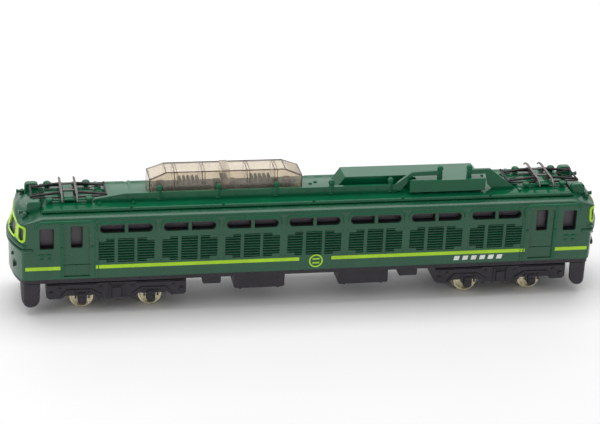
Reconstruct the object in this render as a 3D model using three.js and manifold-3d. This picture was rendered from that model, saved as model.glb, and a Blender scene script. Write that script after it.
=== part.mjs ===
// Model electric locomotive, about 1:100, standing on the flanges of its wheels.
// Millimetres. X runs along the body (front cab at -X), Y across, Z up, z = 0 under the flanges.
import * as THREE from 'three';
import { mergeVertices } from 'three/addons/utils/BufferGeometryUtils.js';
import Module from 'manifold-3d';

const wasm = await Module();
wasm.setup();

// ---- driving dimensions ------------------------------------------------------------------------

const GAP = 0.3;

// body shell
const BODY_HALF_WIDTH = 14.88;
const BODY_BOTTOM = 13.65;
const WALL = 1.2;
const WALL_TOP = 35.2;
const SHOULDER_Y = 12.2;
const SHOULDER_Z = 36.5;
const ROOF_CROWN = 38.3;
const CEILING = 35.3;
const NOSE_TIP = 103.9;
const NOSE_CURVE = 0.019;
const NOSE_CORNER = 1.5;
const NOSE_RAKE = 1.9;
const WINDSCREEN_Z = [28.2, 33.2];
const WINDSCREEN_Y = [1.3, 9.9];
const QUARTER_LIGHT_Y = [12.1, 13.2];
const CAVITY_HALF_WIDTH = BODY_HALF_WIDTH - WALL;
const CAVITY_SHOULDER_Z = 34.4;
const LAMP_HOLE = 1.35;
const LAMP_Y = 8.6;
const LAMP_Z = 18.3;
const CORNER_BOX_X = [93.6, 97.5];
const CORNER_BOX_Y = [6.7, 9.3];
const CORNER_BOX_Z = [36.0, 40.3];

// side windows and doors
const PAIR_PITCH = 21.6;
const PAIR_COUNT = 7;
const PAIR_HALF = 8.97;
const PAIR_POST_HALF = 0.55;
const WINDOW_Z = [30.25, 33.1];
const CAB_WINDOW_X = [89.2, 94.0];
const CAB_WINDOW_Z = [25.0, 32.6];
const DOOR_X = [77.25, 85.9];
const DOOR_TOP = 33.4;
const DOOR_DEPTH = 0.5;
const DOOR_WINDOW_X = [79.5, 83.6];
const DOOR_WINDOW_Z = [25.0, 32.9];

// roof
const ROOF_PANEL_HALF_LENGTH = 93.0;
const ROOF_PANEL_HALF_WIDTH = 11.6;
const ROOF_PANEL_EDGE = 38.0;
const DECK = 38.9;
const BAR_Y = -7.1;
const BAR_THICK = 1.2;
const BAR_SPAN_Y = [BAR_Y - BAR_THICK / 2, BAR_Y + BAR_THICK / 2];
const BAR_LOW = 39.3;
const BAR_TOP = 41.5;
const POST_RADIUS = 0.9;
const POST_XS = [-52.9, -32.7, -12.6, 6.7, 27.6];
const POST_TOP = 44.0;
const HIGH_BAR = [44.6, 46.3];
const HIGH_POST_TOP = 48.0;
const HIGH_POST_XS = [45.1, 55.6];
const COVER_CENTRE = -29.8;
const COVER_HALF_LENGTH = 26.5;
const COVER_TOP_HALF = 20.8;
const COVER_HALF_WIDTH = 5.4;
const COVER_TOP_HALF_WIDTH = 4.3;
const COVER_END_Z = 45.2;
const COVER_TOP = 47.4;
const COVER_WALL = 0.7;
const CONTACT_PITCH = 1.5;
const CONTACT_RADIUS = 0.45;
const CONTACT_ROW_Y = 1.1;
const ROOF_BOX_TOP = 43.5;

// pantographs
const PANTO_X = 83.5;
const PANTO_HALF_SPREAD = 2.3;
const ARM_LENGTH = 10.32;
const PANTO_BASE_Z = 39.75;
const PANTO_HEAD_Z = 40.8;
const FOLD_ANGLE = Math.asin((PANTO_HEAD_Z - PANTO_BASE_Z) / 2 / ARM_LENGTH);
const KNEE_X = PANTO_HALF_SPREAD + ARM_LENGTH * Math.cos(FOLD_ANGLE);
const KNEE_Z = (PANTO_HEAD_Z + PANTO_BASE_Z) / 2;
const ARM_RADIUS = 0.4;
const LOWER_ARM_Y = 5.2;
const UPPER_ARM_Y = 3.9;
const INSULATOR = [6.65, 7.1];
const STRIP_SPREAD = 2.53;

// running gear
const BOGIE_X = 68.05;
const AXLE_OFFSET = 11.75;
const FLANGE_RADIUS = 4.8;
const TREAD_RADIUS = 4.2;
const AXLE_Z = FLANGE_RADIUS;
const AXLE_RADIUS = 0.75;
const WHEEL_BORE = 0.95;
const WHEEL_BACK = 7.3;
const WHEEL_FACE = 10.4;
const BEARING_RADIUS = 1.05;
const SIDE_FRAME_Y = [12.7, 14.0];
const BOGIE_TOP = 11.4;
const BOGIE_HALF_LENGTH = 23.9;
const BOGIE_BOTTOM = 5.9;
const AXLEBOX_HALF = 1.3;
const PIVOT_SHANK = 1.2;
const PIVOT_HEAD = 2.4;

// gears
const MODULE = 0.5;
const ADDENDUM = 0.36;
const DEDENDUM = 0.62;
const AXLE_TEETH = 12;
const IDLER_TEETH = 14;
const COMPOUND_TEETH = 32;
const PINION_TEETH = 10;
const IDLER_X = 6.0;
const CENTRE_DISTANCE = ((AXLE_TEETH + IDLER_TEETH) * MODULE) / 2;
const IDLER_Z = AXLE_Z + Math.sqrt(CENTRE_DISTANCE ** 2 - (AXLE_OFFSET - IDLER_X) ** 2);
const COMPOUND_Z = IDLER_Z + Math.sqrt(CENTRE_DISTANCE ** 2 - IDLER_X ** 2);
const PINION_Z = COMPOUND_Z + ((COMPOUND_TEETH + PINION_TEETH) * MODULE) / 2;
const GEAR_Y = [0.3, 2.3];
const LARGE_GEAR_Y = [2.9, 4.5];
const STUB_RADIUS = 0.7;

// motor
const MOTOR_Y = [-12.0, 1.5];
const MOTOR_RADIUS = 6.0;
const MOTOR_FLAT = 5.0;
const MOTOR_CAP_RADIUS = 4.4;

// chassis
const CHASSIS_LOW = 11.9;
const CHASSIS_RIM_TOP = BODY_BOTTOM - GAP;
const CHASSIS_TOP = 15.2;
const TURRET_HOLE = 11.6;
const SCREW_X = 88.0;
const SCREW_SHANK = 0.9;
const SCREW_HEAD = 1.7;
const SCREW_POST = 2.6;
const BOARD_X = [-52.0, -20.0];
const BOARD_Z = [17.4, 18.6];

// boxes and skirts under the chassis
const BOX_HALF_WIDTH = 13.1;
const LARGE_BOX_BOTTOM = 6.6;
const SMALL_BOX_BOTTOM = 8.9;
const BOX_FOOT = 0.45;
const SKIRT_TOP = 11.6;
const SKIRT_X = [93.9, 100.4];
const SKIRT_ROUND_Z = 6.3;

// ---- materials -----------------------------------------------------------------------------------

function finish(color, roughness, metalness, more = {}) {
  return new THREE.MeshStandardMaterial({ color, roughness, metalness, ...more });
}

const paint = () => finish(0x0a5a38, 0.28, 0.1);
const blackPlastic = () => finish(0x2e2a33, 0.55, 0.0);
const windowPlastic = () => finish(0x4b464f, 0.45, 0.0);
const smokedClear = () => finish(0xd8ccb4, 0.12, 0.0, { transparent: true, opacity: 0.45 });
const nickel = () => finish(0xd9d0b0, 0.25, 0.9);
const steel = () => finish(0x9a9a9a, 0.35, 0.9);
const greyMetal = () => finish(0x6d6668, 0.45, 0.6);
const gearPlastic = () => finish(0xe8e4d8, 0.5, 0.0);
const boardGreen = () => finish(0x1f6b3a, 0.5, 0.0);
const clearPlastic = () => finish(0xf2f2ea, 0.1, 0.0, { transparent: true, opacity: 0.6 });

// ---- solids --------------------------------------------------------------------------------------

function toSolid(geometry) {
  const bare = geometry.index ? geometry.clone() : geometry;
  for (const name of Object.keys(bare.attributes)) {
    if (name !== 'position') {
      bare.deleteAttribute(name);
    }
  }
  const merged = mergeVertices(bare, 1e-4);
  const mesh = new wasm.Mesh({
    numProp: 3,
    vertProperties: new Float32Array(merged.attributes.position.array),
    triVerts: new Uint32Array(merged.index.array),
  });
  return new wasm.Manifold(mesh);
}

function toGeometry(solid) {
  const mesh = solid.getMesh();
  const geometry = new THREE.BufferGeometry();
  geometry.setAttribute('position', new THREE.BufferAttribute(mesh.vertProperties, 3));
  geometry.setIndex(new THREE.BufferAttribute(mesh.triVerts, 1));
  geometry.computeVertexNormals();
  return geometry;
}

function join(solids) {
  return solids.reduce((whole, solid) => whole.add(solid));
}

function cut(solid, tools) {
  return tools.reduce((whole, tool) => whole.subtract(tool), solid);
}

// A block between two corners.
function block(x, y, z) {
  const geometry = new THREE.BoxGeometry(x[1] - x[0], y[1] - y[0], z[1] - z[0]);
  geometry.translate((x[0] + x[1]) / 2, (y[0] + y[1]) / 2, (z[0] + z[1]) / 2);
  return toSolid(geometry);
}

const TURN_TO_AXIS = {
  x: (geometry) => geometry.rotateZ(-Math.PI / 2),
  y: (geometry) => geometry,
  z: (geometry) => geometry.rotateX(Math.PI / 2),
};

// A round bar along an axis; from and to are its ends, at is its place in the two other directions.
function rod(axis, radius, from, to, at, sides = 12) {
  const geometry = new THREE.CylinderGeometry(radius, radius, to - from, sides);
  TURN_TO_AXIS[axis](geometry);
  const middle = (from + to) / 2;
  const place = {
    x: [middle, at[0], at[1]],
    y: [at[0], middle, at[1]],
    z: [at[0], at[1], middle],
  }[axis];
  geometry.translate(...place);
  return toSolid(geometry);
}

function outline(points) {
  return new THREE.Shape(points.map(([a, b]) => new THREE.Vector2(a, b)));
}

function extrusion(points, depth, holes = []) {
  const shape = outline(points);
  shape.holes = holes.map(outline);
  return new THREE.ExtrudeGeometry(shape, { depth, bevelEnabled: false, curveSegments: 8 });
}

// An outline in plan (x, y), standing from z0 to z1.
function planPrism(points, z, holes = []) {
  const geometry = extrusion(points, z[1] - z[0], holes);
  geometry.translate(0, 0, z[0]);
  return toSolid(geometry);
}

// An outline seen from the side (x, z), running from y0 to y1.
function sidePrism(points, y, holes = []) {
  const geometry = extrusion(points, y[1] - y[0], holes);
  geometry.rotateX(Math.PI / 2);
  geometry.translate(0, y[1], 0);
  return toSolid(geometry);
}

// A cross-section (y, z), running from x0 to x1.
function crossPrism(points, x) {
  const geometry = extrusion(points, x[1] - x[0]);
  geometry.rotateX(Math.PI / 2);
  geometry.rotateZ(Math.PI / 2);
  geometry.translate(x[0], 0, 0);
  return toSolid(geometry);
}

function mirrored(points) {
  const other = points.map(([a, b]) => [-a, b]).reverse();
  const onAxis = points[points.length - 1][0] === 0;
  return points.concat(onAxis ? other.slice(1) : other);
}

function arc(centre, radii, from, to, steps) {
  const points = [];
  for (let step = 0; step <= steps; step += 1) {
    const angle = THREE.MathUtils.degToRad(from + ((to - from) * step) / steps);
    points.push([centre[0] + radii[0] * Math.cos(angle), centre[1] + radii[1] * Math.sin(angle)]);
  }
  return points;
}

function range(count, step, centre = 0) {
  return Array.from({ length: count }, (unused, index) => centre + (index - (count - 1) / 2) * step);
}

// ---- scene ---------------------------------------------------------------------------------------

const locomotive = new THREE.Group();

function addPart(name, solid, material, parent = locomotive) {
  const mesh = new THREE.Mesh(toGeometry(solid), material);
  mesh.name = name;
  parent.add(mesh);
  return mesh;
}

function placedGroup(parent, x, y, z) {
  const group = new THREE.Group();
  group.position.set(x, y, z);
  parent.add(group);
  return group;
}

// ---- body shell ----------------------------------------------------------------------------------

// Plan of the body: straight sides and a shallow bow at each end with rounded corners.
function bodyPlan(inset) {
  const halfWidth = BODY_HALF_WIDTH - inset;
  const corner = halfWidth - NOSE_CORNER;
  const bow = (y) => NOSE_TIP - inset - NOSE_CURVE * y * y;
  const cornerArc = arc([bow(corner) - NOSE_CORNER, corner], [NOSE_CORNER, NOSE_CORNER], 75, 10, 3);
  const quarter = [[bow(corner) - NOSE_CORNER, halfWidth], ...cornerArc];
  for (const share of [0.78, 0.5, 0.25]) {
    quarter.push([bow(corner * share), corner * share]);
  }
  quarter.push([bow(0), 0]);
  const rearHalf = quarter.concat(quarter.slice(0, -1).reverse().map(([x, y]) => [x, -y]));
  return rearHalf.concat(rearHalf.map(([x, y]) => [-x, -y]));
}

// Cross-section of the body up to the arched roof.
function bodySection() {
  const shoulder = arc(
    [SHOULDER_Y, WALL_TOP],
    [BODY_HALF_WIDTH - SHOULDER_Y, SHOULDER_Z - WALL_TOP],
    0, 90, 4,
  );
  const half = [[BODY_HALF_WIDTH, BODY_BOTTOM], ...shoulder, [7.5, 37.7], [0, ROOF_CROWN]];
  return mirrored(half);
}

// Side view of the body: raked windscreens and a roof that rounds down over each cab.
function bodySide(inset) {
  const tip = NOSE_TIP - inset;
  const half = [
    [tip + 1, BODY_BOTTOM - 1],
    [tip + 1, 27.2],
    [tip - NOSE_RAKE, 33.9],
    [tip - NOSE_RAKE - 0.9, 35.4],
    [tip - 4.6, 36.8],
    [tip - 7.2, 37.7],
    [tip - 10.2, ROOF_CROWN + 0.5],
  ];
  return mirrored(half);
}

function windowOpenings() {
  const across = [-BODY_HALF_WIDTH - 1, BODY_HALF_WIDTH + 1];
  const openings = [];
  for (const centre of range(PAIR_COUNT, PAIR_PITCH)) {
    openings.push(block([centre - PAIR_HALF, centre - PAIR_POST_HALF], across, WINDOW_Z));
    openings.push(block([centre + PAIR_POST_HALF, centre + PAIR_HALF], across, WINDOW_Z));
  }
  for (const end of [-1, 1]) {
    openings.push(block(facing(end, CAB_WINDOW_X), across, CAB_WINDOW_Z));
    openings.push(block(facing(end, DOOR_WINDOW_X), across, DOOR_WINDOW_Z));
  }
  return openings;
}

// An x range on the rear half, turned to the front half when end is -1.
function facing(end, span) {
  return end > 0 ? span : [-span[1], -span[0]];
}

function doorRecesses() {
  const recesses = [];
  for (const end of [-1, 1]) {
    for (const side of [-1, 1]) {
      const depth = facing(side, [BODY_HALF_WIDTH - DOOR_DEPTH, BODY_HALF_WIDTH + 1]);
      recesses.push(block(facing(end, DOOR_X), depth, [BODY_BOTTOM + 0.8, DOOR_TOP]));
    }
  }
  return recesses;
}

function noseOpenings() {
  const openings = [];
  for (const end of [-1, 1]) {
    const through = facing(end, [96.5, NOSE_TIP + 2]);
    const quarter = facing(end, [99.4, NOSE_TIP + 2]);
    for (const side of [-1, 1]) {
      openings.push(block(through, facing(side, WINDSCREEN_Y), WINDSCREEN_Z));
      openings.push(block(quarter, facing(side, QUARTER_LIGHT_Y), WINDSCREEN_Z));
      openings.push(rod('x', LAMP_HOLE, through[0], through[1], [side * LAMP_Y, LAMP_Z]));
    }
  }
  return openings;
}

function bodyShell() {
  const length = [-NOSE_TIP - 2, NOSE_TIP + 2];
  const tall = [BODY_BOTTOM - 1, ROOF_CROWN + 2];
  const outside = crossPrism(bodySection(), length)
    .intersect(planPrism(bodyPlan(0), tall))
    .intersect(sidePrism(bodySide(0), [-20, 20]));
  const cavity = mirrored([
    [CAVITY_HALF_WIDTH, BODY_BOTTOM - 3],
    [CAVITY_HALF_WIDTH, CAVITY_SHOULDER_Z],
    [CAVITY_HALF_WIDTH - 1.28, CEILING + 1],
  ]);
  const inside = planPrism(bodyPlan(WALL + NOSE_RAKE), [BODY_BOTTOM - 2, CEILING])
    .intersect(crossPrism(cavity, length));
  const widened = block(
    [-96, 96],
    [-CAVITY_HALF_WIDTH, CAVITY_HALF_WIDTH],
    [BODY_BOTTOM - 2, CAVITY_SHOULDER_Z],
  );
  const seat = block(
    [-ROOF_PANEL_HALF_LENGTH - GAP, ROOF_PANEL_HALF_LENGTH + GAP],
    [-ROOF_PANEL_HALF_WIDTH - GAP, ROOF_PANEL_HALF_WIDTH + GAP],
    [36.6, ROOF_CROWN + 2],
  );
  const boxes = [];
  const screwPosts = [];
  for (const end of [-1, 1]) {
    for (const side of [-1, 1]) {
      boxes.push(block(facing(end, CORNER_BOX_X), facing(side, CORNER_BOX_Y), CORNER_BOX_Z));
    }
    screwPosts.push(rod('z', SCREW_POST, CHASSIS_TOP + GAP, CEILING + 0.5, [end * SCREW_X, 0]));
  }
  const openings = [...windowOpenings(), ...doorRecesses(), ...noseOpenings()];
  const shell = cut(outside, [inside, widened, seat, ...openings]);
  const holes = [-1, 1].map((end) => rod('z', SCREW_SHANK + GAP, 0, 31, [end * SCREW_X, 0]));
  return cut(join([shell, ...boxes, ...screwPosts]), holes);
}

addPart('body_shell', bodyShell(), paint());

// ---- roof ----------------------------------------------------------------------------------------

function roofPanel() {
  const section = mirrored([
    [ROOF_PANEL_HALF_WIDTH - 0.1, 36.9],
    [ROOF_PANEL_HALF_WIDTH, ROOF_PANEL_EDGE - 0.3],
    [ROOF_PANEL_HALF_WIDTH - 0.4, ROOF_PANEL_EDGE],
    [9.0, 38.3],
    [5.0, 38.75],
    [0, DECK],
  ]);
  const panel = crossPrism(section, [-ROOF_PANEL_HALF_LENGTH, ROOF_PANEL_HALF_LENGTH]);
  const recess = block([-62, 62], [-9, 9], [36, 37.6]);
  const notches = [];
  for (const x of range(5, 31.3)) {
    for (const side of [-1, 1]) {
      const notch = [[x - 1.0, 38.6], [x, 37.2], [x + 1.0, 38.6]];
      notches.push(sidePrism(notch, facing(side, [ROOF_PANEL_HALF_WIDTH - 1.2, 13])));
    }
  }
  return cut(panel, [recess, ...notches]);
}

addPart('roof_panel', roofPanel(), paint());

function post(x, top) {
  const neck = rod('z', POST_RADIUS, DECK, top - 0.7, [x, BAR_Y], 10);
  const cap = rod('z', POST_RADIUS + 0.25, top - 0.9, top, [x, BAR_Y], 10);
  return neck.add(cap);
}

function highPost(x) {
  return rod('z', POST_RADIUS, ROOF_BOX_TOP + GAP, HIGH_POST_TOP, [x, BAR_Y], 10);
}

function busBarFront() {
  const side = [
    [-75.0, BAR_LOW],
    [28.8, BAR_LOW],
    [31.5, BAR_LOW + 0.6],
    [36.0, HIGH_BAR[0]],
    [HIGH_POST_XS[0], HIGH_BAR[0]],
    [HIGH_POST_XS[0], HIGH_BAR[1]],
    [35.0, HIGH_BAR[1] - 0.3],
    [29.6, BAR_TOP],
    [-63.0, BAR_TOP],
  ];
  const posts = POST_XS.map((x) => post(x, POST_TOP));
  return join([sidePrism(side, BAR_SPAN_Y), ...posts, highPost(HIGH_POST_XS[0])]);
}

function busBarRear() {
  const side = [
    [HIGH_POST_XS[1], HIGH_BAR[0]],
    [61.8, HIGH_BAR[0]],
    [62.5, BAR_LOW + 0.8],
    [66.0, BAR_LOW],
    [72.0, BAR_LOW],
    [63.1, HIGH_BAR[1]],
    [HIGH_POST_XS[1], HIGH_BAR[1]],
  ];
  return sidePrism(side, BAR_SPAN_Y).add(highPost(HIGH_POST_XS[1]));
}

addPart('bus_bar_front', busBarFront(), paint());
addPart('bus_bar_rear', busBarRear(), paint());

function roofBox() {
  const long = sidePrism(
    [[9.0, 39.2], [60.6, 39.2], [60.6, ROOF_BOX_TOP - 1], [59.6, ROOF_BOX_TOP], [12.0, ROOF_BOX_TOP]],
    [-4.1, 5.0],
  );
  const nearPart = block([34.0, 61.2], [-9.7, -4.0], [39.2, ROOF_BOX_TOP]);
  const barSlot = block([60.0, 63.0], [-8.2, -6.0], [38, 45]);
  const rampSlot = block([30.0, 36.5], [-8.2, -6.0], [38, 45]);
  return cut(long.add(nearPart), [barSlot, rampSlot]);
}

addPart('roof_box', roofBox(), paint());

// Smoked clear hood with chamfered ends, open underneath.
function hoodSolid(inset) {
  const halfLength = COVER_HALF_LENGTH - inset;
  const topHalf = COVER_TOP_HALF - inset / 2;
  const side = mirrored([
    [halfLength, 38],
    [halfLength, COVER_END_Z - inset],
    [topHalf, COVER_TOP - inset],
  ]);
  const section = mirrored([
    [COVER_HALF_WIDTH - inset, 38],
    [COVER_TOP_HALF_WIDTH - inset, COVER_TOP + 0.4],
  ]);
  return sidePrism(side, [-10, 10]).intersect(crossPrism(section, [-40, 40]));
}

function roofCover() {
  const floor = block([-40, 40], [-10, 10], [0, 39.2]);
  const rib = block([-1.5, 1.5], [-3.9, 3.9], [COVER_TOP - 0.2, COVER_TOP + 0.35]);
  return cut(hoodSolid(0).add(rib), [hoodSolid(COVER_WALL), floor]);
}

function coverBase() {
  const plate = block([-24.5, 24.5], [-4.2, 4.2], [39.2, 40.2]);
  const rows = [];
  for (const centre of [-12.5, 12.5]) {
    rows.push(block([centre - 7.5, centre + 7.5], [-2.2, 2.2], [40.0, 41.4]));
    for (const x of range(5, CONTACT_PITCH, centre)) {
      for (const y of [-CONTACT_ROW_Y, CONTACT_ROW_Y]) {
        rows.push(rod('z', CONTACT_RADIUS, 41.2, 43.9, [x, y], 8));
      }
    }
  }
  return join([plate, ...rows]);
}

const cover = placedGroup(locomotive, COVER_CENTRE, 0, 0);
addPart('roof_cover', roofCover(), smokedClear(), cover);
addPart('roof_cover_base', coverBase(), blackPlastic(), cover);

// ---- glazing and lamps ---------------------------------------------------------------------------

// Dark window inserts: a long strip behind the upper windows that deepens behind the cab windows.
function windowStrip(side) {
  const strip = mirrored([[95.2, 34.0], [95.2, 24.2], [78.5, 24.2], [76.8, 29.4]]);
  return sidePrism(strip.reverse(), facing(side, [12.5, CAVITY_HALF_WIDTH - GAP]));
}

addPart('window_strip_near', windowStrip(-1), windowPlastic());
addPart('window_strip_far', windowStrip(1), windowPlastic());

function cabGlazing(end) {
  const outer = WALL + NOSE_RAKE + GAP;
  const hollow = planPrism(bodyPlan(outer + 0.9), [20, 40]);
  const region = block(facing(end, [96.2, NOSE_TIP]), [-11.0, 11.0], [27.4, 33.9]);
  return planPrism(bodyPlan(outer), [25, 35]).subtract(hollow).intersect(region);
}

function lightGuide(end) {
  const inner = facing(end, [94.6, 95.8]);
  const plate = block(inner, [-9.8, 9.8], [17.2, 19.4]);
  const stem = block(inner, [-1.4, 1.4], [17.2, 22.5]);
  const tips = [-1, 1].map((side) => {
    const reach = facing(end, [95.2, 102.6]);
    return rod('x', LAMP_HOLE - GAP, reach[0], reach[1], [side * LAMP_Y, LAMP_Z], 10);
  });
  return join([plate, stem, ...tips]);
}

function lampBulb(end) {
  const body = rod('x', 1.2, ...facing(end, [90.6, 94.0]), [0, 21.0], 10);
  const leads = block(facing(end, [91.2, 92.0]), [-0.8, 0.8], [15.6, 21.0]);
  return body.add(leads);
}

const ENDS = [['front', -1], ['rear', 1]];
for (const [name, end] of ENDS) {
  addPart(`cab_glazing_${name}`, cabGlazing(end), windowPlastic());
  addPart(`light_guide_${name}`, lightGuide(end), clearPlastic());
  addPart(`lamp_bulb_${name}`, lampBulb(end), clearPlastic());
}

// ---- chassis -------------------------------------------------------------------------------------

function chassisFrame() {
  const rim = planPrism(bodyPlan(0.7), [CHASSIS_LOW, CHASSIS_RIM_TOP]);
  const floor = planPrism(bodyPlan(WALL + NOSE_RAKE + GAP), [CHASSIS_RIM_TOP - 0.5, CHASSIS_TOP]);
  const boss = rod('z', 4.0, CHASSIS_TOP - 0.5, 19.0, [-BOGIE_X, 0], 16);
  const pillars = [];
  for (const x of [BOARD_X[0] + 3, BOARD_X[1] - 3]) {
    for (const y of [-7, 7]) {
      pillars.push(rod('z', 1.2, CHASSIS_TOP - 0.5, BOARD_Z[0] - GAP, [x, y], 8));
    }
  }
  const openings = [
    rod('z', TURRET_HOLE, 0, 30, [BOGIE_X, 0], 28),
    rod('z', PIVOT_SHANK + GAP, 0, 17.6, [-BOGIE_X, 0], 12),
  ];
  for (const end of [-1, 1]) {
    openings.push(rod('z', SCREW_SHANK + GAP, 0, 30, [end * SCREW_X, 0], 12));
    openings.push(rod('z', SCREW_HEAD + GAP, 0, 13.2, [end * SCREW_X, 0], 12));
  }
  return cut(join([rim, floor, boss, ...pillars]), openings);
}

addPart('chassis_frame', chassisFrame(), blackPlastic());

function crossSlot(x, z, width) {
  return block([x - width, x + width], [-0.25, 0.25], [z - 1, z + 0.4]);
}

function bodyScrew(end) {
  const head = rod('z', SCREW_HEAD, CHASSIS_LOW, 12.9, [end * SCREW_X, 0]);
  const shank = rod('z', SCREW_SHANK, 12.8, 28.0, [end * SCREW_X, 0]);
  return cut(head.add(shank), [crossSlot(end * SCREW_X, CHASSIS_LOW, 1.2)]);
}

for (const [name, end] of ENDS) {
  addPart(`body_screw_${name}`, bodyScrew(end), steel());
}

function circuitBoard() {
  const board = block(BOARD_X, [-9.5, 9.5], BOARD_Z);
  const chips = [
    block([-46, -40], [-4, 2], [BOARD_Z[1] - 0.2, 20.0]),
    block([-34, -31], [-6, -3], [BOARD_Z[1] - 0.2, 20.4]),
    block([-28, -24], [1, 6], [BOARD_Z[1] - 0.2, 21.5]),
  ];
  return join([board, ...chips]);
}

addPart('circuit_board', circuitBoard(), boardGreen());

// Boxes that hang under the chassis between the bogies.
function equipmentBox(x, low, footXs) {
  const top = CHASSIS_LOW - GAP;
  const section = mirrored([
    [BOX_HALF_WIDTH - 0.5, low],
    [BOX_HALF_WIDTH, low + 0.6],
    [BOX_HALF_WIDTH, top],
  ]);
  const box = crossPrism(section, x);
  const footZ = [low - BOX_FOOT, low + 0.2];
  const feet = footXs.map((foot) => block([foot - 0.5, foot + 0.5], [-12.2, 12.2], footZ));
  return join([box, ...feet]);
}

addPart('battery_box_front', equipmentBox([-27.3, -9.5], LARGE_BOX_BOTTOM, [-25.0, -11.8]), blackPlastic());
addPart('battery_box_rear', equipmentBox([9.6, 27.4], LARGE_BOX_BOTTOM, [11.8, 25.1]), blackPlastic());
addPart('air_tank_front', equipmentBox([-38.3, -31.9], SMALL_BOX_BOTTOM, []), blackPlastic());
addPart('air_tank_rear', equipmentBox([31.2, 37.9], SMALL_BOX_BOTTOM, []), blackPlastic());

// Rounded skirt plates that hang from both corners of each end, tied by a cross bar.
function endSkirt(end) {
  const plan = [
    [SKIRT_X[0], 13.9],
    [98.3, 13.9],
    [99.8, 12.8],
    [SKIRT_X[1], 9.6],
    [99.1, 9.4],
    [98.5, 11.8],
    [97.7, 12.6],
    [SKIRT_X[0], 12.6],
  ];
  const middle = (SKIRT_X[0] + SKIRT_X[1]) / 2;
  const radii = [(SKIRT_X[1] - SKIRT_X[0]) / 2, 3.3];
  const tongue = [
    [SKIRT_X[0], SKIRT_TOP],
    ...arc([middle, SKIRT_ROUND_Z], radii, 180, 360, 8),
    [SKIRT_X[1], SKIRT_TOP],
  ];
  const turned = (points) => (end > 0 ? points : points.map(([a, b]) => [-a, b]).reverse());
  const otherSide = (points) => points.map(([a, b]) => [a, -b]).reverse();
  const profile = sidePrism(turned(tongue), [-15, 15]);
  const left = planPrism(turned(plan), [2, SKIRT_TOP]).intersect(profile);
  const right = planPrism(turned(otherSide(plan)), [2, SKIRT_TOP]).intersect(profile);
  const bar = block(facing(end, [97.2, 98.7]), [-12.8, 12.8], [10.0, SKIRT_TOP]);
  return join([left, right, bar]);
}

for (const [name, end] of ENDS) {
  addPart(`end_skirt_${name}`, endSkirt(end), blackPlastic());
}

// ---- bogies --------------------------------------------------------------------------------------

function sideFrame(side) {
  const outlinePoints = mirrored([
    [BOGIE_HALF_LENGTH, BOGIE_TOP],
    [BOGIE_HALF_LENGTH, 6.6],
    [BOGIE_HALF_LENGTH - 1.0, BOGIE_BOTTOM],
    [18.8, BOGIE_BOTTOM],
    [17.6, 6.9],
    [13.4, 6.9],
    [13.2, 4.6],
    [12.6, 3.9],
    [10.9, 3.9],
    [10.3, 4.6],
    [10.1, 6.9],
    [7.4, 6.9],
    [5.9, 4.8],
    [4.4, 6.2],
    [3.2, 5.5],
  ].reverse());
  const plate = sidePrism(outlinePoints, facing(side, SIDE_FRAME_Y));
  const axleboxes = [-1, 1].map((end) => {
    const x = facing(end, [AXLE_OFFSET - AXLEBOX_HALF, AXLE_OFFSET + AXLEBOX_HALF]);
    return block(x, facing(side, [13.8, 14.5]), [4.2, 8.0]);
  });
  return join([plate, ...axleboxes]);
}

// Both side frames, tied by a middle beam and a beam across each end.
function bogieBase() {
  const across = [-SIDE_FRAME_Y[0] - 0.2, SIDE_FRAME_Y[0] + 0.2];
  const beams = [block([-6.2, 6.2], across, [8.4, BOGIE_TOP - 0.2])];
  for (const end of [-1, 1]) {
    const x = facing(end, [BOGIE_HALF_LENGTH - 1.3, BOGIE_HALF_LENGTH]);
    beams.push(block(x, across, [6.6, BOGIE_TOP - 0.2]));
  }
  return join([sideFrame(-1), sideFrame(1), ...beams]);
}

function axleHoles() {
  return [-1, 1].map((end) => rod('y', BEARING_RADIUS, -12, 12, [end * AXLE_OFFSET, AXLE_Z], 12));
}

function trailingBogieFrame() {
  const base = bogieBase();
  const centre = block([-15.4, 15.4], [-5.8, 5.8], [3.1, 10.6]);
  const boss = rod('z', 4.2, 10, CHASSIS_LOW - GAP, [0, 0], 16);
  const tunnel = rod('z', PIVOT_SHANK + GAP, 0, 20, [0, 0], 12);
  const counterbore = rod('z', PIVOT_HEAD + GAP, 0, 5.6, [0, 0], 12);
  return cut(join([base, centre, boss]), [...axleHoles(), tunnel, counterbore]);
}

function driveBogieFrame() {
  const base = bogieBase();
  const housing = block([-17.4, 17.4], [-6.4, 6.4], [3.0, BOGIE_TOP]);
  const turret = rod('z', TURRET_HOLE - GAP, BOGIE_TOP - 1, 16.0, [0, 0], 28);
  const lip = rod('z', 12.4, CHASSIS_TOP + GAP, 16.3, [0, 0], 28);
  const well = rod('z', 9.95, BOGIE_TOP, 30, [0, 0], 28);
  const gearSlot = block([-16.2, 16.2], [-0.1, 4.9], [0, 30]);
  const motorSlot = block([-6.4, 6.4], [-13, 0], [15.4, 20]);
  const stubs = [-1, 1].map((end) => rod('y', STUB_RADIUS + GAP, -12, 2, [end * IDLER_X, IDLER_Z], 12));
  const shaft = rod('y', STUB_RADIUS + GAP, -12, 12, [0, COMPOUND_Z], 12);
  const frame = cut(join([base, housing, turret, lip]), [well]);
  return cut(frame, [gearSlot, motorSlot, ...axleHoles(), ...stubs, shaft]);
}

function wheelProfile() {
  const points = [
    [WHEEL_BORE, 0],
    [FLANGE_RADIUS, 0],
    [FLANGE_RADIUS, 0.5],
    [TREAD_RADIUS + 0.05, 0.95],
    [TREAD_RADIUS, WHEEL_FACE - WHEEL_BACK],
    [3.4, WHEEL_FACE - WHEEL_BACK],
    [3.2, 2.4],
    [WHEEL_BORE, 2.4],
    [WHEEL_BORE, 0],
  ];
  return points.map(([radius, along]) => new THREE.Vector2(radius, along));
}

function wheel(side) {
  const geometry = new THREE.LatheGeometry(wheelProfile(), 24);
  if (side < 0) {
    geometry.rotateX(Math.PI);
  }
  geometry.translate(0, side * WHEEL_BACK, 0);
  return toSolid(geometry);
}

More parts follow.
